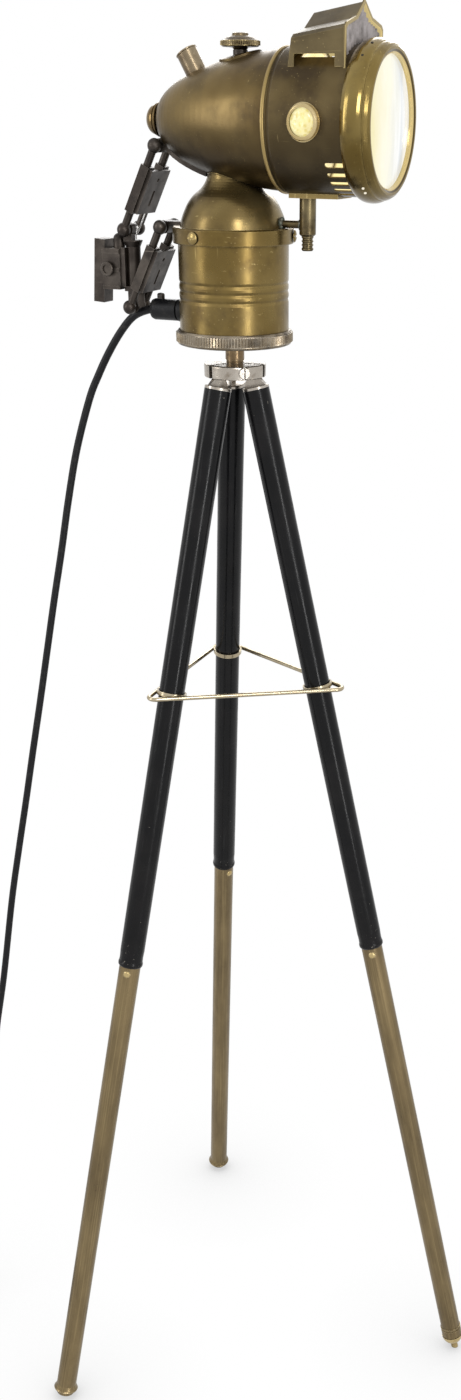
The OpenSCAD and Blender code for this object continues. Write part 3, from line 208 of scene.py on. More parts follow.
def grown(name, data, tree, values):
    """A plain mesh object: what the tree makes of the data with those values"""
    source = bpy.data.objects.new(name + ".source", data)
    scene.collection.objects.link(source)
    modifier = source.modifiers.new("tree", "NODES")
    modifier.node_group = tree
    sockets = {s.name: s.identifier for s in tree.interface.items_tree if s.in_out == "INPUT"}
    for key, value in values.items():
        modifier[sockets[key]] = value
    depsgraph = bpy.context.evaluated_depsgraph_get()
    mesh = bpy.data.meshes.new_from_object(source.evaluated_get(depsgraph))
    mesh.name = name
    bpy.data.objects.remove(source)
    piece = bpy.data.objects.new(name, mesh)
    scene.collection.objects.link(piece)
    return piece


# A round tube along a path, with closed ends
tube_tree, tube_in = tree_with("tube", {"Radius": "NodeSocketFloat", "Sides": "NodeSocketInt"})
tube_profile = add(
    tube_tree,
    "GeometryNodeCurvePrimitiveCircle",
    {"Resolution": tube_in["Sides"], "Radius": tube_in["Radius"]},
)
tube_wall = add(
    tube_tree,
    "GeometryNodeCurveToMesh",
    {"Curve": tube_in["Path"], "Profile Curve": tube_profile.outputs[0], "Fill Caps": True},
)
end_tree(tube_tree, tube_wall.outputs[0], tube_in["Material"])


def tube(name, points, radius, sides, material, closed=False):
    """A round tube of that radius along the points"""
    return grown(
        name,
        path_curve(points, closed),
        tube_tree,
        {"Radius": radius, "Sides": sides, "Material": material},
    )


cord_black, tree, shader, place = finish_of("cord black", roughness=0.42)
shader.inputs["Specular IOR Level"].default_value = 0.2
scuffs = noise(tree, place, 220, 8)
tree.links.new(
    blend_colour(
        tree, between(tree, scuffs, 0.55, 0.72), (0.006, 0.006, 0.007), (0.022, 0.021, 0.020)
    ),
    shader.inputs["Base Color"],
)
tree.links.new(between(tree, scuffs, 0.4, 0.7, 0.36, 0.55), shader.inputs["Roughness"])
relief(tree, shader, noise(tree, place, 900, 3), 0.00008)

cord_d = 0.0052
cord_r = cord_d / 2
grip_z = 0.82948
cord_points = [
    (-0.0524, 0, grip_z), (-0.062, 0, 0.829), (-0.074, 0, 0.8245), (-0.084, 0, 0.815),
    (-0.095, 0, 0.800), (-0.104, -0.001, 0.784), (-0.111, -0.003, 0.768),
    (-0.121, -0.007, 0.734), (-0.128, -0.011, 0.699), (-0.134, -0.015, 0.663),
    (-0.140, -0.020, 0.627), (-0.146, -0.025, 0.589), (-0.152, -0.030, 0.551),
    (-0.158, -0.036, 0.512), (-0.164, -0.042, 0.472), (-0.170, -0.049, 0.431),
    (-0.176, -0.056, 0.388), (-0.183, -0.066, 0.324), (-0.193, -0.070, 0.270),
    (-0.203, -0.074, 0.205), (-0.211, -0.077, 0.140), (-0.218, -0.0795, 0.080),
    (-0.223, -0.0815, 0.045), (-0.230, -0.084, 0.020), (-0.241, -0.088, 0.0065),
    (-0.254, -0.0925, cord_r), (-0.268, -0.0976, cord_r),
]
cord_heading = radians(200)
coil_turns = 2.57
coil_pitch = 0.0058
coil_in_r = 0.0215
coil_r = coil_in_r + coil_turns * coil_pitch
coil_from = Vector(cord_points[-1])
along_cord = Vector((cos(cord_heading), sin(cord_heading), 0))
coil_mid = coil_from + cord_d * along_cord + coil_r * Vector((-along_cord.y, along_cord.x, 0))
coil_total = 2 * coil_turns * 2 * pi
steps_a_turn = 48
coil_steps = ceil(coil_turns * 2 * steps_a_turn)


def coil_point(angle):
    """The coil's line: it spirals in, climbs onto itself in half a turn, and spirals out"""
    r = coil_in_r + coil_pitch * abs(angle - coil_total / 2) / (2 * pi)
    climb = min(1, max(0, (angle - coil_total / 2 + pi / 2) / pi))
    turn = cord_heading - pi / 2 + angle
    return Vector(
        (coil_mid.x + r * cos(turn), coil_mid.y + r * sin(turn), cord_r + coil_pitch * climb)
    )


coil_line = [coil_point(coil_total * k / coil_steps) for k in range(coil_steps + 1)]
tail_turn = cord_heading + coil_total
tail_way = Vector((cos(tail_turn), sin(tail_turn), 0))
plug_thick = 0.0137
tail_len = 0.045
plug_at = Vector((coil_line[-1].x, coil_line[-1].y, plug_thick / 2)) + tail_len * tail_way
tail_line = soft_line(
    [
        coil_line[-1],
        coil_line[-1] + 0.012 * tail_way - Vector((0, 0, 0.0003)),
        plug_at - cord_d * tail_way,
        plug_at,
    ],
    6,
)
cord_line = (
    soft_line(cord_points, 6)
    + [coil_from + 0.5 * cord_d * along_cord]
    + coil_line
    + tail_line[1:]
)
cord = tube("cord", cord_line, cord_r, 16, cord_black)
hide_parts("cord_drop", "cord_coil")


# Plug: flat moulded black body with two round pins, and a ribbed sleeve over the cord's end
# that keeps it from kinking. The sleeve's ribs are rings that get smaller towards the cord.
def dress(material, *nodes):
    """Gives the CAD nodes that material"""
    for name in nodes:
        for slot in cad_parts[name].material_slots:
            slot.material = material


moulded_black, tree, shader, place = finish_of("moulded black", roughness=0.38)
shader.inputs["Specular IOR Level"].default_value = 0.22
dust = noise(tree, place, 160, 7)
tree.links.new(
    blend_colour(
        tree, between(tree, dust, 0.5, 0.75), (0.007, 0.007, 0.008), (0.028, 0.026, 0.024)
    ),
    shader.inputs["Base Color"],
)
tree.links.new(between(tree, dust, 0.35, 0.7, 0.3, 0.5), shader.inputs["Roughness"])
relief(tree, shader, noise(tree, place, 1500, 2), 0.00005)
dress(moulded_black, "plug_body")

sleeve_tree, sleeve_in = tree_with(
    "ribbed sleeve",
    {
        "Ribs": "NodeSocketInt",
        "Pitch": "NodeSocketFloat",
        "Rib Radius": "NodeSocketFloat",
        "Ring Radius": "NodeSocketFloat",
        "Taper": "NodeSocketFloat",
        "Core Radius": "NodeSocketFloat",
        "Core Length": "NodeSocketFloat",
    },
)
rib_line = add(
    sleeve_tree,
    "GeometryNodeMeshLine",
    {
        "Count": sleeve_in["Ribs"],
        "Offset": add(
            sleeve_tree, "ShaderNodeCombineXYZ", {"X": sleeve_in["Pitch"]}
        ).outputs[0],
    },
)
rib_ring = add(
    sleeve_tree,
    "GeometryNodeCurveToMesh",
    {
        "Curve": add(
            sleeve_tree,
            "GeometryNodeCurvePrimitiveCircle",
            {"Resolution": 32, "Radius": sleeve_in["Ring Radius"]},
        ).outputs[0],
        "Profile Curve": add(
            sleeve_tree,
            "GeometryNodeCurvePrimitiveCircle",
            {"Resolution": 10, "Radius": sleeve_in["Rib Radius"]},
        ).outputs[0],
    },
)
rib_number = add(sleeve_tree, "GeometryNodeInputIndex").outputs[0]
rib_scale = add(
    sleeve_tree,
    "ShaderNodeMath",
    {0: 1.0, 1: times(sleeve_tree, rib_number, sleeve_in["Taper"])},
    operation="SUBTRACT",
)
ribs = add(
    sleeve_tree,
    "GeometryNodeInstanceOnPoints",
    {
        "Points": rib_line.outputs[0],
        "Instance": rib_ring.outputs[0],
        "Rotation": (0, pi / 2, 0),
        "Scale": rib_scale.outputs[0],
    },
)
sleeve_core = add(
    sleeve_tree,
    "GeometryNodeMeshCone",
    {
        "Vertices": 32,
        "Radius Top": sleeve_in["Core Radius"],
        "Radius Bottom": sleeve_in["Ring Radius"],
        "Depth": sleeve_in["Core Length"],
    },
)
sleeve_core = add(
    sleeve_tree,
    "GeometryNodeTransform",
    {"Geometry": sleeve_core.outputs["Mesh"], "Rotation": (0, pi / 2, 0)},
)
sleeve_join = add(sleeve_tree, "GeometryNodeJoinGeometry")
for part in (sleeve_core, ribs):
    sleeve_tree.links.new(part.outputs[0], sleeve_join.inputs[0])
end_tree(sleeve_tree, sleeve_join.outputs[0], sleeve_in["Material"])
sleeve = grown(
    "plug_sleeve",
    bpy.data.meshes.new("empty"),
    sleeve_tree,
    {
        "Ribs": 7,
        "Pitch": 0.0028,
        "Rib Radius": 0.0006,
        "Ring Radius": 0.0046,
        "Taper": 0.055,
        "Core Radius": 0.0030,
        "Core Length": 0.022,
        "Material": moulded_black,
    },
)
sleeve_back = 0.001
sleeve.data.transform(
    Matrix.Translation(plug_at - sleeve_back * tail_way)
    @ Matrix.Rotation(tail_turn + pi, 4, "Z")
)
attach(sleeve, "tripod")
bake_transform(cord)

# ---------- Studio ----------
# A pale floor that goes on into a white backdrop, with a contact shadow under what stands on
# it, three large soft lamps and a tall narrow one that draws a bright line down round pieces.
floor_data = bpy.data.meshes.new("floor")
reach = 8
floor_data.from_pydata(
    [(-reach, -reach, 0), (reach, -reach, 0), (reach, reach, 0), (-reach, reach, 0)],
    [],
    [(0, 1, 2, 3)],
)
floor = bpy.data.objects.new("floor", floor_data)
scene.collection.objects.link(floor)
floor_drop = 0.0002
floor.location.z = -floor_drop


def seen(tree):
    """1 for what the camera sees by itself, in a gloss or through glass, else 0"""
    rays = add(tree, "ShaderNodeLightPath").outputs
    both = larger(tree, rays["Is Camera Ray"], rays["Is Glossy Ray"])
    return larger(tree, both, rays["Is Transmission Ray"])


floor_white = bpy.data.materials.new("floor white")
floor_white.use_nodes = True
tree = floor_white.node_tree
tree.nodes.clear()
contact = add(tree, "ShaderNodeAmbientOcclusion", {"Distance": 0.12}, samples=8)
shadow = blend_colour(
    tree, between(tree, contact.outputs["AO"], 0.45, 0.98), (0.62, 0.62, 0.62), (1, 1, 1)
)
floor_mix = add(
    tree,
    "ShaderNodeMixShader",
    {
        0: seen(tree),
        1: add(tree, "ShaderNodeBsdfDiffuse", {"Color": (0.7, 0.7, 0.69, 1)}).outputs[0],
        2: add(tree, "ShaderNodeEmission", {"Color": shadow}).outputs[0],
    },
)
add(tree, "ShaderNodeOutputMaterial", {"Surface": floor_mix.outputs[0]})
floor_data.materials.append(floor_white)

world = bpy.data.worlds.new("studio")
world.use_nodes = True
scene.world = world
tree = world.node_tree
background = tree.nodes["Background"]
tree.links.new(
    blend_colour(tree, seen(tree), (0.42, 0.43, 0.45), (1, 1, 1)), background.inputs["Color"]
)


def soft_lamp(name, place, aim, watts, width, height):
    """A rectangular soft lamp at that place, aimed at a point"""
    data = bpy.data.lights.new(name, "AREA")
    data.shape = "RECTANGLE"
    data.size = width
    data.size_y = height
    data.energy = watts
    lamp = bpy.data.objects.new(name, data)
    lamp.location = place
    lamp.rotation_euler = (Vector(aim) - Vector(place)).to_track_quat("-Z", "Y").to_euler()
    lamp.visible_camera = False
    scene.collection.objects.link(lamp)


soft_lamp("key", (1.15, -1.55, 1.75), (0, 0, 0.75), 14, 0.5, 0.8)
soft_lamp("strip", (1.55, -1.15, 0.85), (0, 0, 0.75), 13, 0.16, 1.5)
soft_lamp("left", (-1.5, -1.4, 1.3), (0, 0, 0.6), 12, 0.5, 1.4)
soft_lamp("behind", (-0.6, 1.7, 1.6), (0, 0, 0.7), 12, 1.2, 0.8)

# ---------- Crown ----------
# Cast and turned disc that the three legs hinge in, nickel plated over brass and worn: the
# plating has yellowed, with brown patches. Steel pins and one clamp screw, plated as well.


def edges(tree, radius, low=0.80, high=0.985):
    """1 along edges and corners sharper than the radius, else 0"""
    rounded = add(tree, "ShaderNodeBevel", {"Radius": radius}, samples=4).outputs[0]
    flat = add(tree, "ShaderNodeNewGeometry").outputs["Normal"]
    match = add(tree, "ShaderNodeVectorMath", {0: rounded, 1: flat}, operation="DOT_PRODUCT")
    return between(tree, match.outputs["Value"], high, low)


def corner_shade(tree, reach_m):
    """1 in corners and beneath overhangs, else 0: where shade is painted"""
    hollow = add(tree, "ShaderNodeAmbientOcclusion", {"Distance": reach_m}, samples=4)
    return between(tree, hollow.outputs["AO"], 0.75, 0.25)


def worn_metal(
    name, body, stain, bright, metallic, rough, patch=60.0, stained=0.5, dents=0.0004, wear=0.7,
    underside_shade=0.0, corner_shade_reach=0.004, painted_bright_from=1.0,
):
    """Old metal: a body colour with stained patches, fine pits and scratches, bright worn edges
    and painted shade in its corners. rough is the smoothest and the roughest place; the last
    three arguments are how much painted shade darkens the metal where it looks down, how far
    the painted shade in corners reaches, and the x beyond which a bright band is painted on:
    a painted highlight on the bullet's bead, the bright lip round the hood's mouth."""
    material, tree, shader, place = finish_of(name, metallic)
    patches = noise(tree, place, patch, 9)
    cloud = noise(tree, place, patch * 0.3, 3)
    colour = blend_colour(
        tree, between(tree, patches, stained, stained + 0.16), body, stain
    )
    colour = blend_colour(
        tree, times(tree, between(tree, cloud, 0.45, 0.7), 0.35), colour, bright
    )
    specks = add(
        tree,
        "ShaderNodeTexVoronoi",
        {"Vector": place, "Scale": patch * 9, "Randomness": 1.0},
    ).outputs["Distance"]
    speck = times(tree, between(tree, specks, 0.16, 0.08), between(tree, patches, 0.45, 0.6))
    colour = blend_colour(tree, times(tree, speck, 0.55), colour, bright)
    lines = noise(tree, place, 260, 3, stretch=(0.06, 1, 2.2), twist=0.5)
    lines_across = noise(tree, place, 240, 3, stretch=(1.8, 1, 0.07), twist=-0.3)
    scratch = larger(
        tree, between(tree, lines, 0.69, 0.72), between(tree, lines_across, 0.70, 0.73)
    )
    colour = blend_colour(tree, times(tree, scratch, 0.45), colour, bright)
    rubbed = times(
        tree, edges(tree, 0.0006), between(tree, noise(tree, place, 300, 4), 0.3, 0.55)
    )
    colour = blend_colour(tree, times(tree, rubbed, wear), colour, bright)
    # Painted shade: the colour darkens where the surface looks down, towards a dark copy of the
    # stain colour.
    if underside_shade:
        normal = add(tree, "ShaderNodeTexCoord").outputs["Normal"]
        up = along(tree, normal, "Z")
        colour = blend_colour(
            tree, between(tree, up, 0.35, -0.75, 0, underside_shade), colour, [0.22 * c for c in stain]
        )
    # A bright band painted on beyond that x: a painted highlight on the bullet's bead, and the
    # bright lip round the hood's mouth.
    if painted_bright_from < 1:
        x = along(tree, place, "X")
        lip = between(tree, x, painted_bright_from, painted_bright_from + 0.0004, 0, 0.85)
        colour = blend_colour(tree, lip, colour, bright)
    # Painted shade: the colour goes dark in corners and beneath overhangs, from ambient occlusion.
    colour = blend_colour(
        tree, times(tree, corner_shade(tree, corner_shade_reach), 0.75), colour, (0.03, 0.022, 0.014)
    )
    tree.links.new(colour, shader.inputs["Base Color"])
    tree.links.new(
        between(tree, patches, 0.3, 0.7, rough[0], rough[1]), shader.inputs["Roughness"]
    )
    first = relief(tree, shader, noise(tree, place, 28, 2), dents, 0.6)
    second = relief(tree, shader, noise(tree, place, 1400, 3), 0.00003, 0.5, first)
    relief(tree, shader, scratch, -0.00004, 0.6, second)
    return material


worn_nickel = worn_metal(
    "worn nickel",
    body=(0.40, 0.36, 0.31),
    stain=(0.17, 0.13, 0.09),
    bright=(0.74, 0.72, 0.67),
    metallic=0.92,
    rough=(0.18, 0.36),
    patch=110,
    stained=0.55,
    dents=0.0002,
)
dress(
    worn_nickel, "crown", "crown_screw", "stub_nut", "leg_cap_front", "leg_cap_right",
    "leg_cap_left",
)

bright_steel = worn_metal(
    "bright steel",
    body=(0.56, 0.55, 0.53),
    stain=(0.28, 0.25, 0.21),
    bright=(0.85, 0.84, 0.82),
    metallic=0.95,
    rough=(0.16, 0.36),
    patch=240,
    stained=0.6,
    dents=0.0001,
)
dress(bright_steel, "leg_pins", "front_pins", "plug_pins")

gold_brass = worn_metal(
    "golden brass",
    body=(0.215, 0.148, 0.045),
    stain=(0.10, 0.066, 0.024),
    bright=(0.62, 0.48, 0.22),
    metallic=0.85,
    rough=(0.20, 0.42),
    patch=70,
    stained=0.52,
    underside_shade=0.4,
)

# ---------- Legs ----------
# Three brass tubes enamelled black, with a second tube sliding in each. The enamel is glossy,
# with faint long scratches, and is chipped to grey metal round the knees and the caps.
splay = radians(12.85)
leg_turns = {"front": radians(3.5), "right": radians(-116.5), "left": radians(123.5)}
pivot = (0.012, 0, 0.79488)


def down_leg(tree, place, turn):
    """The place in a leg's own frame: the leg lies along Z there"""
    faced = add(
        tree, "ShaderNodeVectorRotate", {"Vector": place, "Angle": -turn}, rotation_type="Z_AXIS"
    )
    return add(
        tree,
        "ShaderNodeVectorRotate",
        {"Vector": faced.outputs[0], "Center": pivot, "Angle": splay},
        rotation_type="Y_AXIS",
    ).outputs[0]


for leg, turn in leg_turns.items():
    enamel, tree, shader, place = finish_of("black enamel " + leg, roughness=0.22)
    shader.inputs["Specular IOR Level"].default_value = 0.16
    place = down_leg(tree, place, turn)
    height = along(tree, place, "Z")
    worn_ends = larger(
        tree, between(tree, height, 0.43, 0.375), between(tree, height, 0.755, 0.79)
    )
    flecks = noise(tree, place, 420, 6)
    chipped = add(
        tree,
        "ShaderNodeMath",
        {0: flecks, 1: between(tree, worn_ends, 0, 1, 0.74, 0.66)},
        operation="GREATER_THAN",
    ).outputs[0]
    knocked = times(
        tree, edges(tree, 0.0005), between(tree, noise(tree, place, 500, 3), 0.42, 0.55)
    )
    bare = larger(tree, chipped, knocked)
    streaks = between(tree, noise(tree, place, 700, 3, stretch=(1, 1, 0.03)), 0.62, 0.72)
    colour = blend_colour(
        tree,
        between(tree, noise(tree, place, 24, 5), 0.45, 0.75),
        (0.0045, 0.0045, 0.005),
        (0.011, 0.010, 0.010),
    )
    colour = blend_colour(tree, times(tree, streaks, 0.3), colour, (0.04, 0.04, 0.04))
    colour = blend_colour(tree, bare, colour, (0.17, 0.155, 0.13))
    tree.links.new(colour, shader.inputs["Base Color"])
    tree.links.new(
        between(tree, noise(tree, place, 60, 5), 0.35, 0.7, 0.14, 0.34),
        shader.inputs["Roughness"],
    )
    first = relief(tree, shader, noise(tree, place, 90, 3), 0.00006, 0.5)
    relief(tree, shader, bare, -0.00012, 0.8, first)
    dress(enamel, "upper_tube_" + leg)

    # The lower tubes are drawn brass that has gone dull olive brown, with streaks along the
    # tube where it slides. A catch of brass springs out below each knee.
    dull_brass, tree, shader, place = finish_of("dull brass " + leg, 0.80)
    place = down_leg(tree, place, turn)
    patches = noise(tree, place, 45, 8, stretch=(1, 1, 0.3))
    draw_lines = noise(tree, place, 900, 2, stretch=(1, 1, 0.012))
    colour = blend_colour(
        tree, between(tree, patches, 0.36, 0.66), (0.215, 0.158, 0.078), (0.115, 0.083, 0.042)
    )
    colour = blend_colour(
        tree, times(tree, between(tree, draw_lines, 0.5, 0.7), 0.5), colour, (0.33, 0.25, 0.125)
    )
    spots = add(
        tree, "ShaderNodeTexVoronoi", {"Vector": place, "Scale": 300.0}
    ).outputs["Distance"]
    colour = blend_colour(
        tree,
        times(tree, between(tree, spots, 0.14, 0.06), between(tree, patches, 0.5, 0.6)),
        colour,
        (0.05, 0.035, 0.02),
    )
    colour = blend_colour(
        tree,
        times(tree, edges(tree, 0.0005), between(tree, noise(tree, place, 400, 3), 0.3, 0.5)),
        colour,
        (0.72, 0.60, 0.36),
    )
    tree.links.new(colour, shader.inputs["Base Color"])
    tree.links.new(between(tree, patches, 0.3, 0.7, 0.27, 0.45), shader.inputs["Roughness"])
    first = relief(tree, shader, draw_lines, 0.00003, 0.5)
    relief(tree, shader, noise(tree, place, 35, 2), 0.0002, 0.5, first)
    dress(dull_brass, "lower_tube_" + leg)
    if leg != "front":
        dress(dull_brass, "inner_tube_" + leg)

bright_brass = worn_metal(
    "bright brass",
    body=(0.46, 0.345, 0.155),
    stain=(0.26, 0.185, 0.075),
    bright=(0.80, 0.68, 0.42),
    metallic=0.92,
    rough=(0.16, 0.32),
    patch=160,
    stained=0.56,
    dents=0.0001,
)
dress(bright_brass, "catch_front", "catch_right", "catch_left", "foot_ball_front")

# ---------- Spreader ----------
# A triangle of polished steel rod with a ring round each leg, brazed at the corners.
polished_rod = worn_metal(
    "polished rod",
    body=(0.44, 0.37, 0.25),
    stain=(0.24, 0.175, 0.095),
    bright=(0.84, 0.76, 0.58),
    metallic=0.97,
    rough=(0.14, 0.28),
    patch=130,
    stained=0.55,
    dents=0.0001,
    underside_shade=0.4,
)
dress(polished_rod, "spreader")

# ---------- Stub, cap and can ----------
# A turned brass stub carries the can. The can is spun sheet brass with three pressed beads and
# screws into a knurled cap whose milled rim has worn pale.
dress(
    worn_metal(
        "brown brass stub",
        body=(0.22, 0.15, 0.08),
        stain=(0.10, 0.064, 0.034),
        bright=(0.62, 0.50, 0.32),
        metallic=0.88,
        rough=(0.2, 0.38),
        patch=170,
        stained=0.5,
        dents=0.0001,
        underside_shade=0.4,
    ),
    "stub",
)
dress(
    worn_metal(
        "milled rim",
        body=(0.215, 0.168, 0.11),
        stain=(0.085, 0.063, 0.042),
        bright=(0.66, 0.60, 0.50),
        metallic=0.88,
        rough=(0.22, 0.42),
        patch=120,
        stained=0.5,
        dents=0.0002,
        wear=0.9,
        corner_shade_reach=0.0016,
        underside_shade=0.5,
    ),
    "base_cap",
)
can_brass = worn_metal(
    "can brass",
    body=(0.168, 0.112, 0.031),
    stain=(0.088, 0.055, 0.017),
    bright=(0.56, 0.43, 0.18),
    metallic=0.82,
    rough=(0.22, 0.38),
    patch=42,
    stained=0.50,
    dents=0.0003,
    underside_shade=0.5,
)
dress(can_brass, "can", "collar")
dress(gold_brass, "collar_screws")

# ---------- Cord grip ----------
# A moulded black grip pushed into the can's back, with a dark screw that pinches the cord.
dress(moulded_black, "cord_grip")
dress(
    worn_metal(
        "dark screw",
        body=(0.055, 0.050, 0.045),
        stain=(0.03, 0.027, 0.024),
        bright=(0.30, 0.28, 0.25),
        metallic=0.8,
        rough=(0.3, 0.5),
        patch=300,
    ),
    "grip_screw",
)

# ---------- Bell ----------
# Spun brass bell from the collar up to the lamp's body, soldered round the neck.
bell_brass = worn_metal(
    "bell brass",
    body=(0.160, 0.112, 0.040),
    stain=(0.098, 0.066, 0.025),
    bright=(0.52, 0.41, 0.18),
    metallic=0.82,
    rough=(0.22, 0.36),
    patch=38,
    stained=0.5,
    dents=0.0003,
    underside_shade=0.5,
)
dress(bell_brass, "bell")

solder, tree, shader, place = finish_of("old solder", 0.55)
lumps = noise(tree, place, 260, 6)
tree.links.new(
    blend_colour(
        tree, between(tree, lumps, 0.42, 0.62), (0.17, 0.165, 0.125), (0.075, 0.10, 0.082)
    ),
    shader.inputs["Base Color"],
)
tree.links.new(between(tree, lumps, 0.3, 0.7, 0.42, 0.75), shader.inputs["Roughness"])
relief(tree, shader, lumps, 0.0006)

head_z = 0.94148
bullet_len = 0.088
bullet_back = 0.038 - bullet_len
bullet_r = 0.039
neck_r = 0.0155
seam_r = 0.0006
seam_out = 0.0001
seam_sunk = 0.0002
seam_steps = 72


def bullet_at(x):
    """Radius of the bullet at x"""
    share = min(1, max(0, (x - bullet_back) / bullet_len))
    return bullet_r * (1 - (1 - share) ** 1.4) ** 0.4


neck_line = []
for k in range(seam_steps):
    angle = 2 * pi * k / seam_steps
    x, y = (neck_r + seam_out) * cos(angle), (neck_r + seam_out) * sin(angle)
    neck_line.append((x, y, head_z - sqrt(bullet_at(x) ** 2 - y**2) - seam_sunk))
neck_seam = tube("neck_seam", neck_line, seam_r, 10, bell_brass, closed=True)
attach(neck_seam, "lamp")

# ---------- Bullet ----------
# Spun brass body of the lamp, browned by age, with an acorn nut at its tail, the filler tube
# and the milled valve knob, brown with rubbed edges, on a dark gland.
brown_brass = worn_metal(
    "brown brass",
    body=(0.084, 0.051, 0.014),
    stain=(0.047, 0.028, 0.009),
    bright=(0.36, 0.26, 0.10),
    metallic=0.74,
    rough=(0.27, 0.45),
    patch=55,
    stained=0.47,
    dents=0.0004,
    underside_shade=0.75,
    # Painted highlight on the bead round the bullet's front, beyond this x.
    painted_bright_from=0.0367,
)
dress(brown_brass, "bullet")
dress(
    worn_metal(
        "red brown nut",
        body=(0.135, 0.085, 0.030),
        stain=(0.070, 0.040, 0.018),
        bright=(0.46, 0.34, 0.16),
        metallic=0.78,
        rough=(0.18, 0.34),
        patch=150,
        dents=0.0001,
        underside_shade=0.6,
    ),
    "acorn_nut",
)
dress(
    worn_metal(
        "filler brass",
        body=(0.19, 0.142, 0.085),
        stain=(0.085, 0.060, 0.036),
        bright=(0.60, 0.50, 0.34),
        metallic=0.85,
        rough=(0.2, 0.36),
        patch=130,
        dents=0.0001,
        underside_shade=0.4,
    ),
    "filler_tube",
)
dress(
    worn_metal(
        "knob brass",
        body=(0.135, 0.102, 0.060),
        stain=(0.070, 0.052, 0.032),
        bright=(0.60, 0.47, 0.21),
        metallic=0.80,
        rough=(0.26, 0.44),
        patch=140,
        dents=0.0001,
        wear=0.9,
        underside_shade=0.4,
    ),
    "valve_knob",
)
dark_steel = worn_metal(
    "dark steel",
    body=(0.041, 0.032, 0.026),
    stain=(0.022, 0.017, 0.014),
    bright=(0.25, 0.215, 0.18),
    metallic=0.70,
    rough=(0.32, 0.52),
    patch=120,
    stained=0.5,
    dents=0.0003,
    wear=0.6,
    underside_shade=0.5,
)
dress(dark_steel, "valve_gland")


# ---------- Drum ----------
# Rolled brass drum that holds the bulb and the front glass. A painted glow on its inner
# walls stands in for the bulb's light, and shows in the vent slots, in the gap under the hood
# and through the side jewels.
def off_axis(tree, place):
    """The vector from the head's axis straight out to the place"""
    away = add(
        tree, "ShaderNodeVectorMath", {0: place, 1: (0, 0, head_z)}, operation="SUBTRACT"
    ).outputs[0]
    return add(
        tree, "ShaderNodeVectorMath", {0: away, 1: (0, 1, 1)}, operation="MULTIPLY"
    ).outputs[0]


def lit_inside(material, colour, strength, from_x=0.0):
    """Paints a glow on the faces that look towards the head's axis, beyond from_x: painted light"""
    tree = material.node_tree
    shader = tree.nodes["Principled BSDF"]
    spot = add(tree, "ShaderNodeTexCoord").outputs
    x = along(tree, spot["Object"], "X")
    outward = add(
        tree, "ShaderNodeVectorMath", {0: off_axis(tree, spot["Object"])}, operation="NORMALIZE"
    ).outputs[0]
    facing = add(
        tree, "ShaderNodeVectorMath", {0: outward, 1: spot["Normal"]}, operation="DOT_PRODUCT"
    ).outputs["Value"]
    inside = times(
        tree, between(tree, facing, -0.2, -0.5), between(tree, x, from_x, from_x + 0.002)
    )
    glow = blend_colour(tree, inside, (0, 0, 0), colour)
    tree.links.new(glow, shader.inputs["Emission Color"])
    shader.inputs["Emission Strength"].default_value = strength


drum_brass = worn_metal(
    "drum brass",
    body=(0.080, 0.054, 0.019),
    stain=(0.048, 0.031, 0.012),
    bright=(0.36, 0.27, 0.12),
    metallic=0.72,
    rough=(0.28, 0.46),
    patch=50,
    stained=0.48,
    dents=0.0003,
    underside_shade=0.7,
)
lit_inside(drum_brass, (1.0, 0.86, 0.42), 1.0, from_x=0.056)
dress(drum_brass, "drum")
dress(gold_brass, "pipe_saddle")
dress(
    worn_metal(
        "pipe brass",
        body=(0.125, 0.094, 0.042),
        stain=(0.062, 0.045, 0.022),
        bright=(0.50, 0.41, 0.22),
        metallic=0.82,
        rough=(0.24, 0.42),
        patch=120,
        dents=0.0001,
        underside_shade=0.4,
    ),
    "gas_pipe",
)

# Solder round the branch pipe where it enters the bell and the upright pipe, gone grey green.
branch_z = 0.88398
ring_steps = 40
uneven = 0.0003
uneven_x = 0.0004


def solder_ring(x, ring_r):
    """An uneven ring round the branch pipe at x"""
    ring = []
    for k in range(ring_steps):
        angle = 2 * pi * k / ring_steps
        across = (ring_r + uneven * sin(3 * angle)) * cos(angle)
        up = (ring_r + uneven * cos(4 * angle)) * sin(angle)
        ring.append((x + uneven_x * sin(5 * angle), across, branch_z + up))
    return ring


for name, x, ring_r, bead_r in (
    ("bell", 0.0338, 0.0026, 0.0013),
    ("pipe", 0.0466, 0.0024, 0.0007),
):
    bead = tube("solder_" + name, solder_ring(x, ring_r), bead_r, 10, solder, closed=True)
    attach(bead, "lamp")

# ---------- Hood ----------
# Folded brass chimney over the drum, with a bright lip round its mouth and a corrugated
# baffle set back in it. A painted warm glow on its inner faces stands in for the drum's light.
hood_brass = worn_metal(
    "hood brass",
    body=(0.092, 0.068, 0.032),
    stain=(0.062, 0.045, 0.022),
    bright=(0.44, 0.34, 0.15),
    metallic=0.70,
    rough=(0.34, 0.50),
    patch=48,
    stained=0.5,
    dents=0.0003,
    wear=0.55,
    # The bright lip round the mouth, painted on beyond this x.
    painted_bright_from=0.0861,
)
lit_inside(hood_brass, (1.0, 0.80, 0.36), 0.55)
dress(hood_brass, "hood")

baffle_grey, tree, shader, place = finish_of("baffle grey", 0.55, 0.45)
soot = noise(tree, place, 150, 6)
colour = blend_colour(
    tree, between(tree, soot, 0.35, 0.7), (0.36, 0.33, 0.325), (0.15, 0.135, 0.13)
)
# Painted shade: the folds of the baffle go dark, from ambient occlusion.
tree.links.new(
    blend_colour(tree, times(tree, corner_shade(tree, 0.0022), 0.9), colour, (0.02, 0.017, 0.015)),
    shader.inputs["Base Color"],
)
tree.links.new(between(tree, soot, 0.3, 0.7, 0.32, 0.55), shader.inputs["Roughness"])
relief(tree, shader, noise(tree, place, 700, 3), 0.00008)
dress(baffle_grey, "baffle")

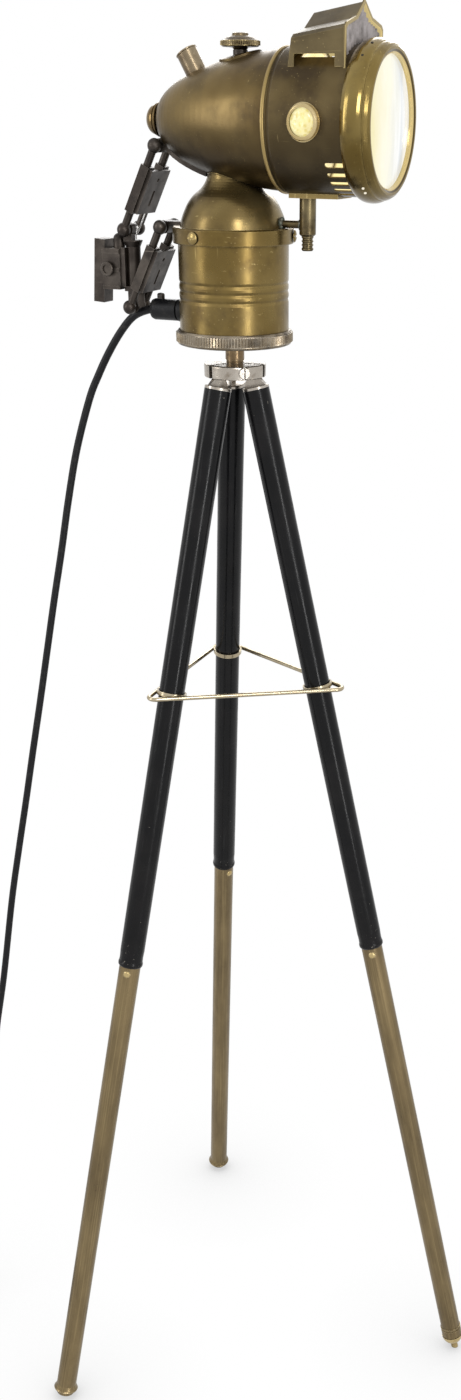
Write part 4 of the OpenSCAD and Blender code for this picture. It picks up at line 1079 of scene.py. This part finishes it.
# ---------- Side jewels ----------
# A thick pressed glass in a turned brass ring on each side of the drum, with a painted pale
# yellow glow, brighter on its facets.
dress(bright_brass, "jewel_rings")
jewel, tree, shader, place = finish_of("jewel glass", roughness=0.18)
shader.inputs["Coat Weight"].default_value = 0.35
shader.inputs["Emission Strength"].default_value = 0.8
facets = add(
    tree, "ShaderNodeTexVoronoi", {"Vector": place, "Scale": 420.0}, feature="F1"
).outputs["Distance"]
clouds = noise(tree, place, 130, 5)
colour = blend_colour(
    tree, between(tree, clouds, 0.35, 0.62), (0.94, 0.86, 0.36), (0.66, 0.52, 0.14)
)
colour = blend_colour(
    tree, times(tree, between(tree, facets, 0.25, 0.6), 0.45), colour, (1, 0.98, 0.70)
)
tree.links.new(colour, shader.inputs["Emission Color"])
tree.links.new(
    blend_colour(tree, clouds, (0.30, 0.26, 0.10), (0.20, 0.16, 0.06)),
    shader.inputs["Base Color"],
)
relief(tree, shader, facets, 0.0006)
dress(jewel, "jewel_glasses")

# ---------- Bezel and front glass ----------
# A spun brass rim that pulls off the drum. It holds a frosted, slightly domed glass against
# its lip with a spring ring, and small air holes are drilled in pairs round it.
bezel_brass = worn_metal(
    "bezel brass",
    body=(0.160, 0.107, 0.027),
    stain=(0.074, 0.047, 0.014),
    bright=(0.66, 0.51, 0.20),
    metallic=0.90,
    rough=(0.10, 0.24),
    patch=44,
    stained=0.52,
    dents=0.0004,
    wear=0.9,
    underside_shade=0.55,
)
# A painted reflection lies bright on the lip round the glass, with a darker line just outside it.
tree = bezel_brass.node_tree
shader = tree.nodes["Principled BSDF"]
place = add(tree, "ShaderNodeTexCoord").outputs["Object"]
from_axis = add(
    tree, "ShaderNodeVectorMath", {0: off_axis(tree, place)}, operation="LENGTH"
).outputs["Value"]
lip_r = 0.0370
lip_x = 0.1010
at_front = between(tree, along(tree, place, "X"), lip_x, lip_x + 0.0010)
dark_line_outside = times(
    tree,
    between(tree, from_axis, lip_r, lip_r + 0.0003),
    between(tree, from_axis, lip_r + 0.0013, lip_r + 0.0010),
)
colour = blend_colour(
    tree,
    times(tree, times(tree, dark_line_outside, at_front), 0.8),
    shader.inputs["Base Color"].links[0].from_socket,
    (0.045, 0.030, 0.012),
)
lip_reflection = times(tree, between(tree, from_axis, lip_r + 0.0001, lip_r - 0.0002), at_front)
tree.links.new(
    blend_colour(tree, times(tree, lip_reflection, 0.9), colour, (0.74, 0.58, 0.26)),
    shader.inputs["Base Color"],
)
dress(bezel_brass, "bezel")
dress(bright_brass, "glass_ring")

# The air holes are dark discs on the bezel, painted shade for the inside of each hole; those low on
# the bezel glow warm white instead, painted light seen through them.
hole_shade_and_glow, tree, shader, place = finish_of("drilled hole", roughness=0.8)
shader.inputs["Base Color"].default_value = (0.014, 0.010, 0.007, 1)
low = along(tree, place, "Z")
lit_below = head_z - 0.02
tree.links.new(
    blend_colour(
        tree, between(tree, low, lit_below, lit_below - 0.002), (0, 0, 0), (1, 0.93, 0.75)
    ),
    shader.inputs["Emission Color"],
)
shader.inputs["Emission Strength"].default_value = 0.9
relief(tree, shader, noise(tree, place, 2000, 2), 0.00005)

hole_tree, hole_in = tree_with(
    "drilled holes", {"Radius": "NodeSocketFloat", "Depth": "NodeSocketFloat"}
)
hole_disc = add(
    hole_tree,
    "GeometryNodeMeshCylinder",
    {"Vertices": 16, "Radius": hole_in["Radius"], "Depth": hole_in["Depth"]},
)
hole_way = add(
    hole_tree, "GeometryNodeInputNamedAttribute", {"Name": "way"}, data_type="FLOAT_VECTOR"
)
hole_turn = add(
    hole_tree, "FunctionNodeAlignRotationToVector", {"Vector": hole_way.outputs[0]}, axis="Z"
)
holes = add(
    hole_tree,
    "GeometryNodeInstanceOnPoints",
    {
        "Points": hole_in["Path"],
        "Instance": hole_disc.outputs["Mesh"],
        "Rotation": hole_turn.outputs[0],
    },
)
end_tree(hole_tree, holes.outputs[0], hole_in["Material"])

bezel_r = 0.04405
bezel_flare = 0.12
hole_places = []
for turn, x in ((22, 0.098), (39, 0.0965), (142, 0.0985), (148, 0.0985)):
    for side in (-1, 1):
        hole_places.append((x, side * radians(turn)))
hole_points = bpy.data.meshes.new("holes")
hole_points.from_pydata(
    [(x, bezel_r * sin(a), head_z + bezel_r * cos(a)) for x, a in hole_places], [], []
)
way = hole_points.attributes.new("way", "FLOAT_VECTOR", "POINT")
for item, (x, a) in zip(way.data, hole_places):
    item.vector = (bezel_flare, sin(a), cos(a))
air_holes = grown(
    "air_holes",
    hole_points,
    hole_tree,
    {"Radius": 0.0008, "Depth": 0.0006, "Material": hole_shade_and_glow},
)
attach(air_holes, "front")

frosted, tree, shader, place = finish_of("frosted glass", roughness=0.16)
shader.inputs["Coat Weight"].default_value = 0.25
shader.inputs["Coat Roughness"].default_value = 0.05
# The glass carries a painted glow: cream yellow towards -Y, pale in the middle and grey towards +Y,
# with white streaks near the middle.
shader.inputs["Emission Strength"].default_value = 0.78
across = along(tree, place, "Y")
waver = between(tree, noise(tree, place, 40, 3, stretch=(1, 1, 0.4)), 0.3, 0.7, -0.007, 0.007)
across = add(tree, "ShaderNodeMath", {0: across, 1: waver}, operation="ADD").outputs[0]
colour = blend_colour(
    tree, between(tree, across, -0.036, -0.008), (0.88, 0.76, 0.27), (0.97, 0.93, 0.72)
)
colour = blend_colour(tree, between(tree, across, -0.006, 0.016), colour, (0.66, 0.70, 0.73))
streak = between(tree, noise(tree, place, 85, 2, stretch=(1, 1, 0.12)), 0.48, 0.62)
colour = blend_colour(
    tree, times(tree, times(tree, streak, between(tree, across, -0.006, 0.010)), 0.7),
    colour, (0.98, 0.98, 0.97),
)
tree.links.new(colour, shader.inputs["Emission Color"])
tree.links.new(
    blend_colour(tree, noise(tree, place, 90, 4), (0.13, 0.125, 0.11), (0.18, 0.175, 0.16)),
    shader.inputs["Base Color"],
)
relief(tree, shader, noise(tree, place, 60, 2, stretch=(1, 1, 0.3)), 0.0003, 0.5)
dress(frosted, "front_glass")

# ---------- Bulb ----------
# A frosted bulb in a white glazed holder, in front of a silvered dish. The lead to it runs up
# inside the bell.
silvered, tree, shader, place = finish_of("silvered dish", 0.9, 0.2)
tarnish = noise(tree, place, 80, 6)
tree.links.new(
    blend_colour(tree, between(tree, tarnish, 0.45, 0.7), (0.82, 0.80, 0.74), (0.62, 0.55, 0.40)),
    shader.inputs["Base Color"],
)
tree.links.new(between(tree, tarnish, 0.3, 0.7, 0.12, 0.3), shader.inputs["Roughness"])
# Painted glow: the dish gives off a little warm light of its own.
shader.inputs["Emission Color"].default_value = (1.0, 0.85, 0.5, 1)
shader.inputs["Emission Strength"].default_value = 0.4
dress(silvered, "reflector")

glazed, tree, shader, place = finish_of("glazed white", roughness=0.2)
crazing = noise(tree, place, 300, 5)
tree.links.new(
    blend_colour(tree, between(tree, crazing, 0.5, 0.75), (0.78, 0.75, 0.68), (0.55, 0.48, 0.38)),
    shader.inputs["Base Color"],
)
relief(tree, shader, crazing, 0.00006)
dress(glazed, "bulb_holder")

bulb_glass, tree, shader, place = finish_of("bulb glass", roughness=0.3)
shader.inputs["Emission Strength"].default_value = 4.0
reach_x = along(tree, place, "X")
tree.links.new(
    blend_colour(tree, between(tree, reach_x, 0.042, 0.056), (0.25, 0.16, 0.06), (1.0, 0.88, 0.62)),
    shader.inputs["Emission Color"],
)
relief(tree, shader, noise(tree, place, 1200, 2), 0.00004)
dress(bulb_glass, "bulb")

dish_x = 0.040
lead_points = [
    (-0.0315, 0, grip_z), (-0.026, 0, grip_z + 0.001), (-0.014, 0, grip_z + 0.009),
    (-0.004, 0, grip_z + 0.026), (0, 0, 0.86828), (0, 0, 0.88828), (0, 0, head_z - 0.040),
    (0.001, 0, head_z - 0.026), (0.005, 0, head_z - 0.012), (0.013, 0, head_z - 0.002),
    (dish_x - 0.0159, 0, head_z), (dish_x - 0.0121, 0, head_z),
]
lead_r = 0.002
lead = tube("lead", soft_line(lead_points, 8), lead_r, 12, cord_black)
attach(lead, "lamp")
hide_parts("inner_flex")

# ---------- Bracket ----------
# The sprung parallel bracket that hung the lamp on its bicycle: forged lugs, two channelled
# links with ball ends, a barrel block and a ribbed socket, all dark oxidised steel.
dress(
    dark_steel, "bullet_lug", "collar_lug", "upper_link", "lower_link", "rear_block", "socket",
    "socket_bolt",
)

# The steel spring is wound round the upper rear pin, with one leg behind the link's web.
up_rear = Vector((-0.074, 0, 0.87768))
link_x, link_z = 0.0245, 0.0493
link_way = Vector((link_x, 0, link_z)).normalized()
spring_r = 0.0033
spring_pitch = 0.0014
spring_wire = 0.00045
spring_turns = 3 - atan2(link_x, link_z) / (2 * pi)
spring_steps = ceil(spring_turns * 32)
spring_line = []
for k in range(spring_steps + 1):
    angle = 2 * pi * spring_turns * k / spring_steps
    spring_line.append(
        up_rear
        + Vector(
            (
                spring_r * cos(angle),
                spring_wire + spring_pitch * angle / (2 * pi),
                spring_r * sin(angle),
            )
        )
    )
leg_start = 0.001
low_leg = 0.006
high_leg = 0.018
spring_line = (
    [spring_line[0] - Vector((0, 0, low_leg)), spring_line[0] - Vector((0, 0, leg_start))]
    + spring_line
    + [spring_line[-1] + leg_start * link_way, spring_line[-1] + high_leg * link_way]
)
spring = tube("spring", spring_line, spring_wire, 12, bright_steel)
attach(spring, "carrier")
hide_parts("link_spring")
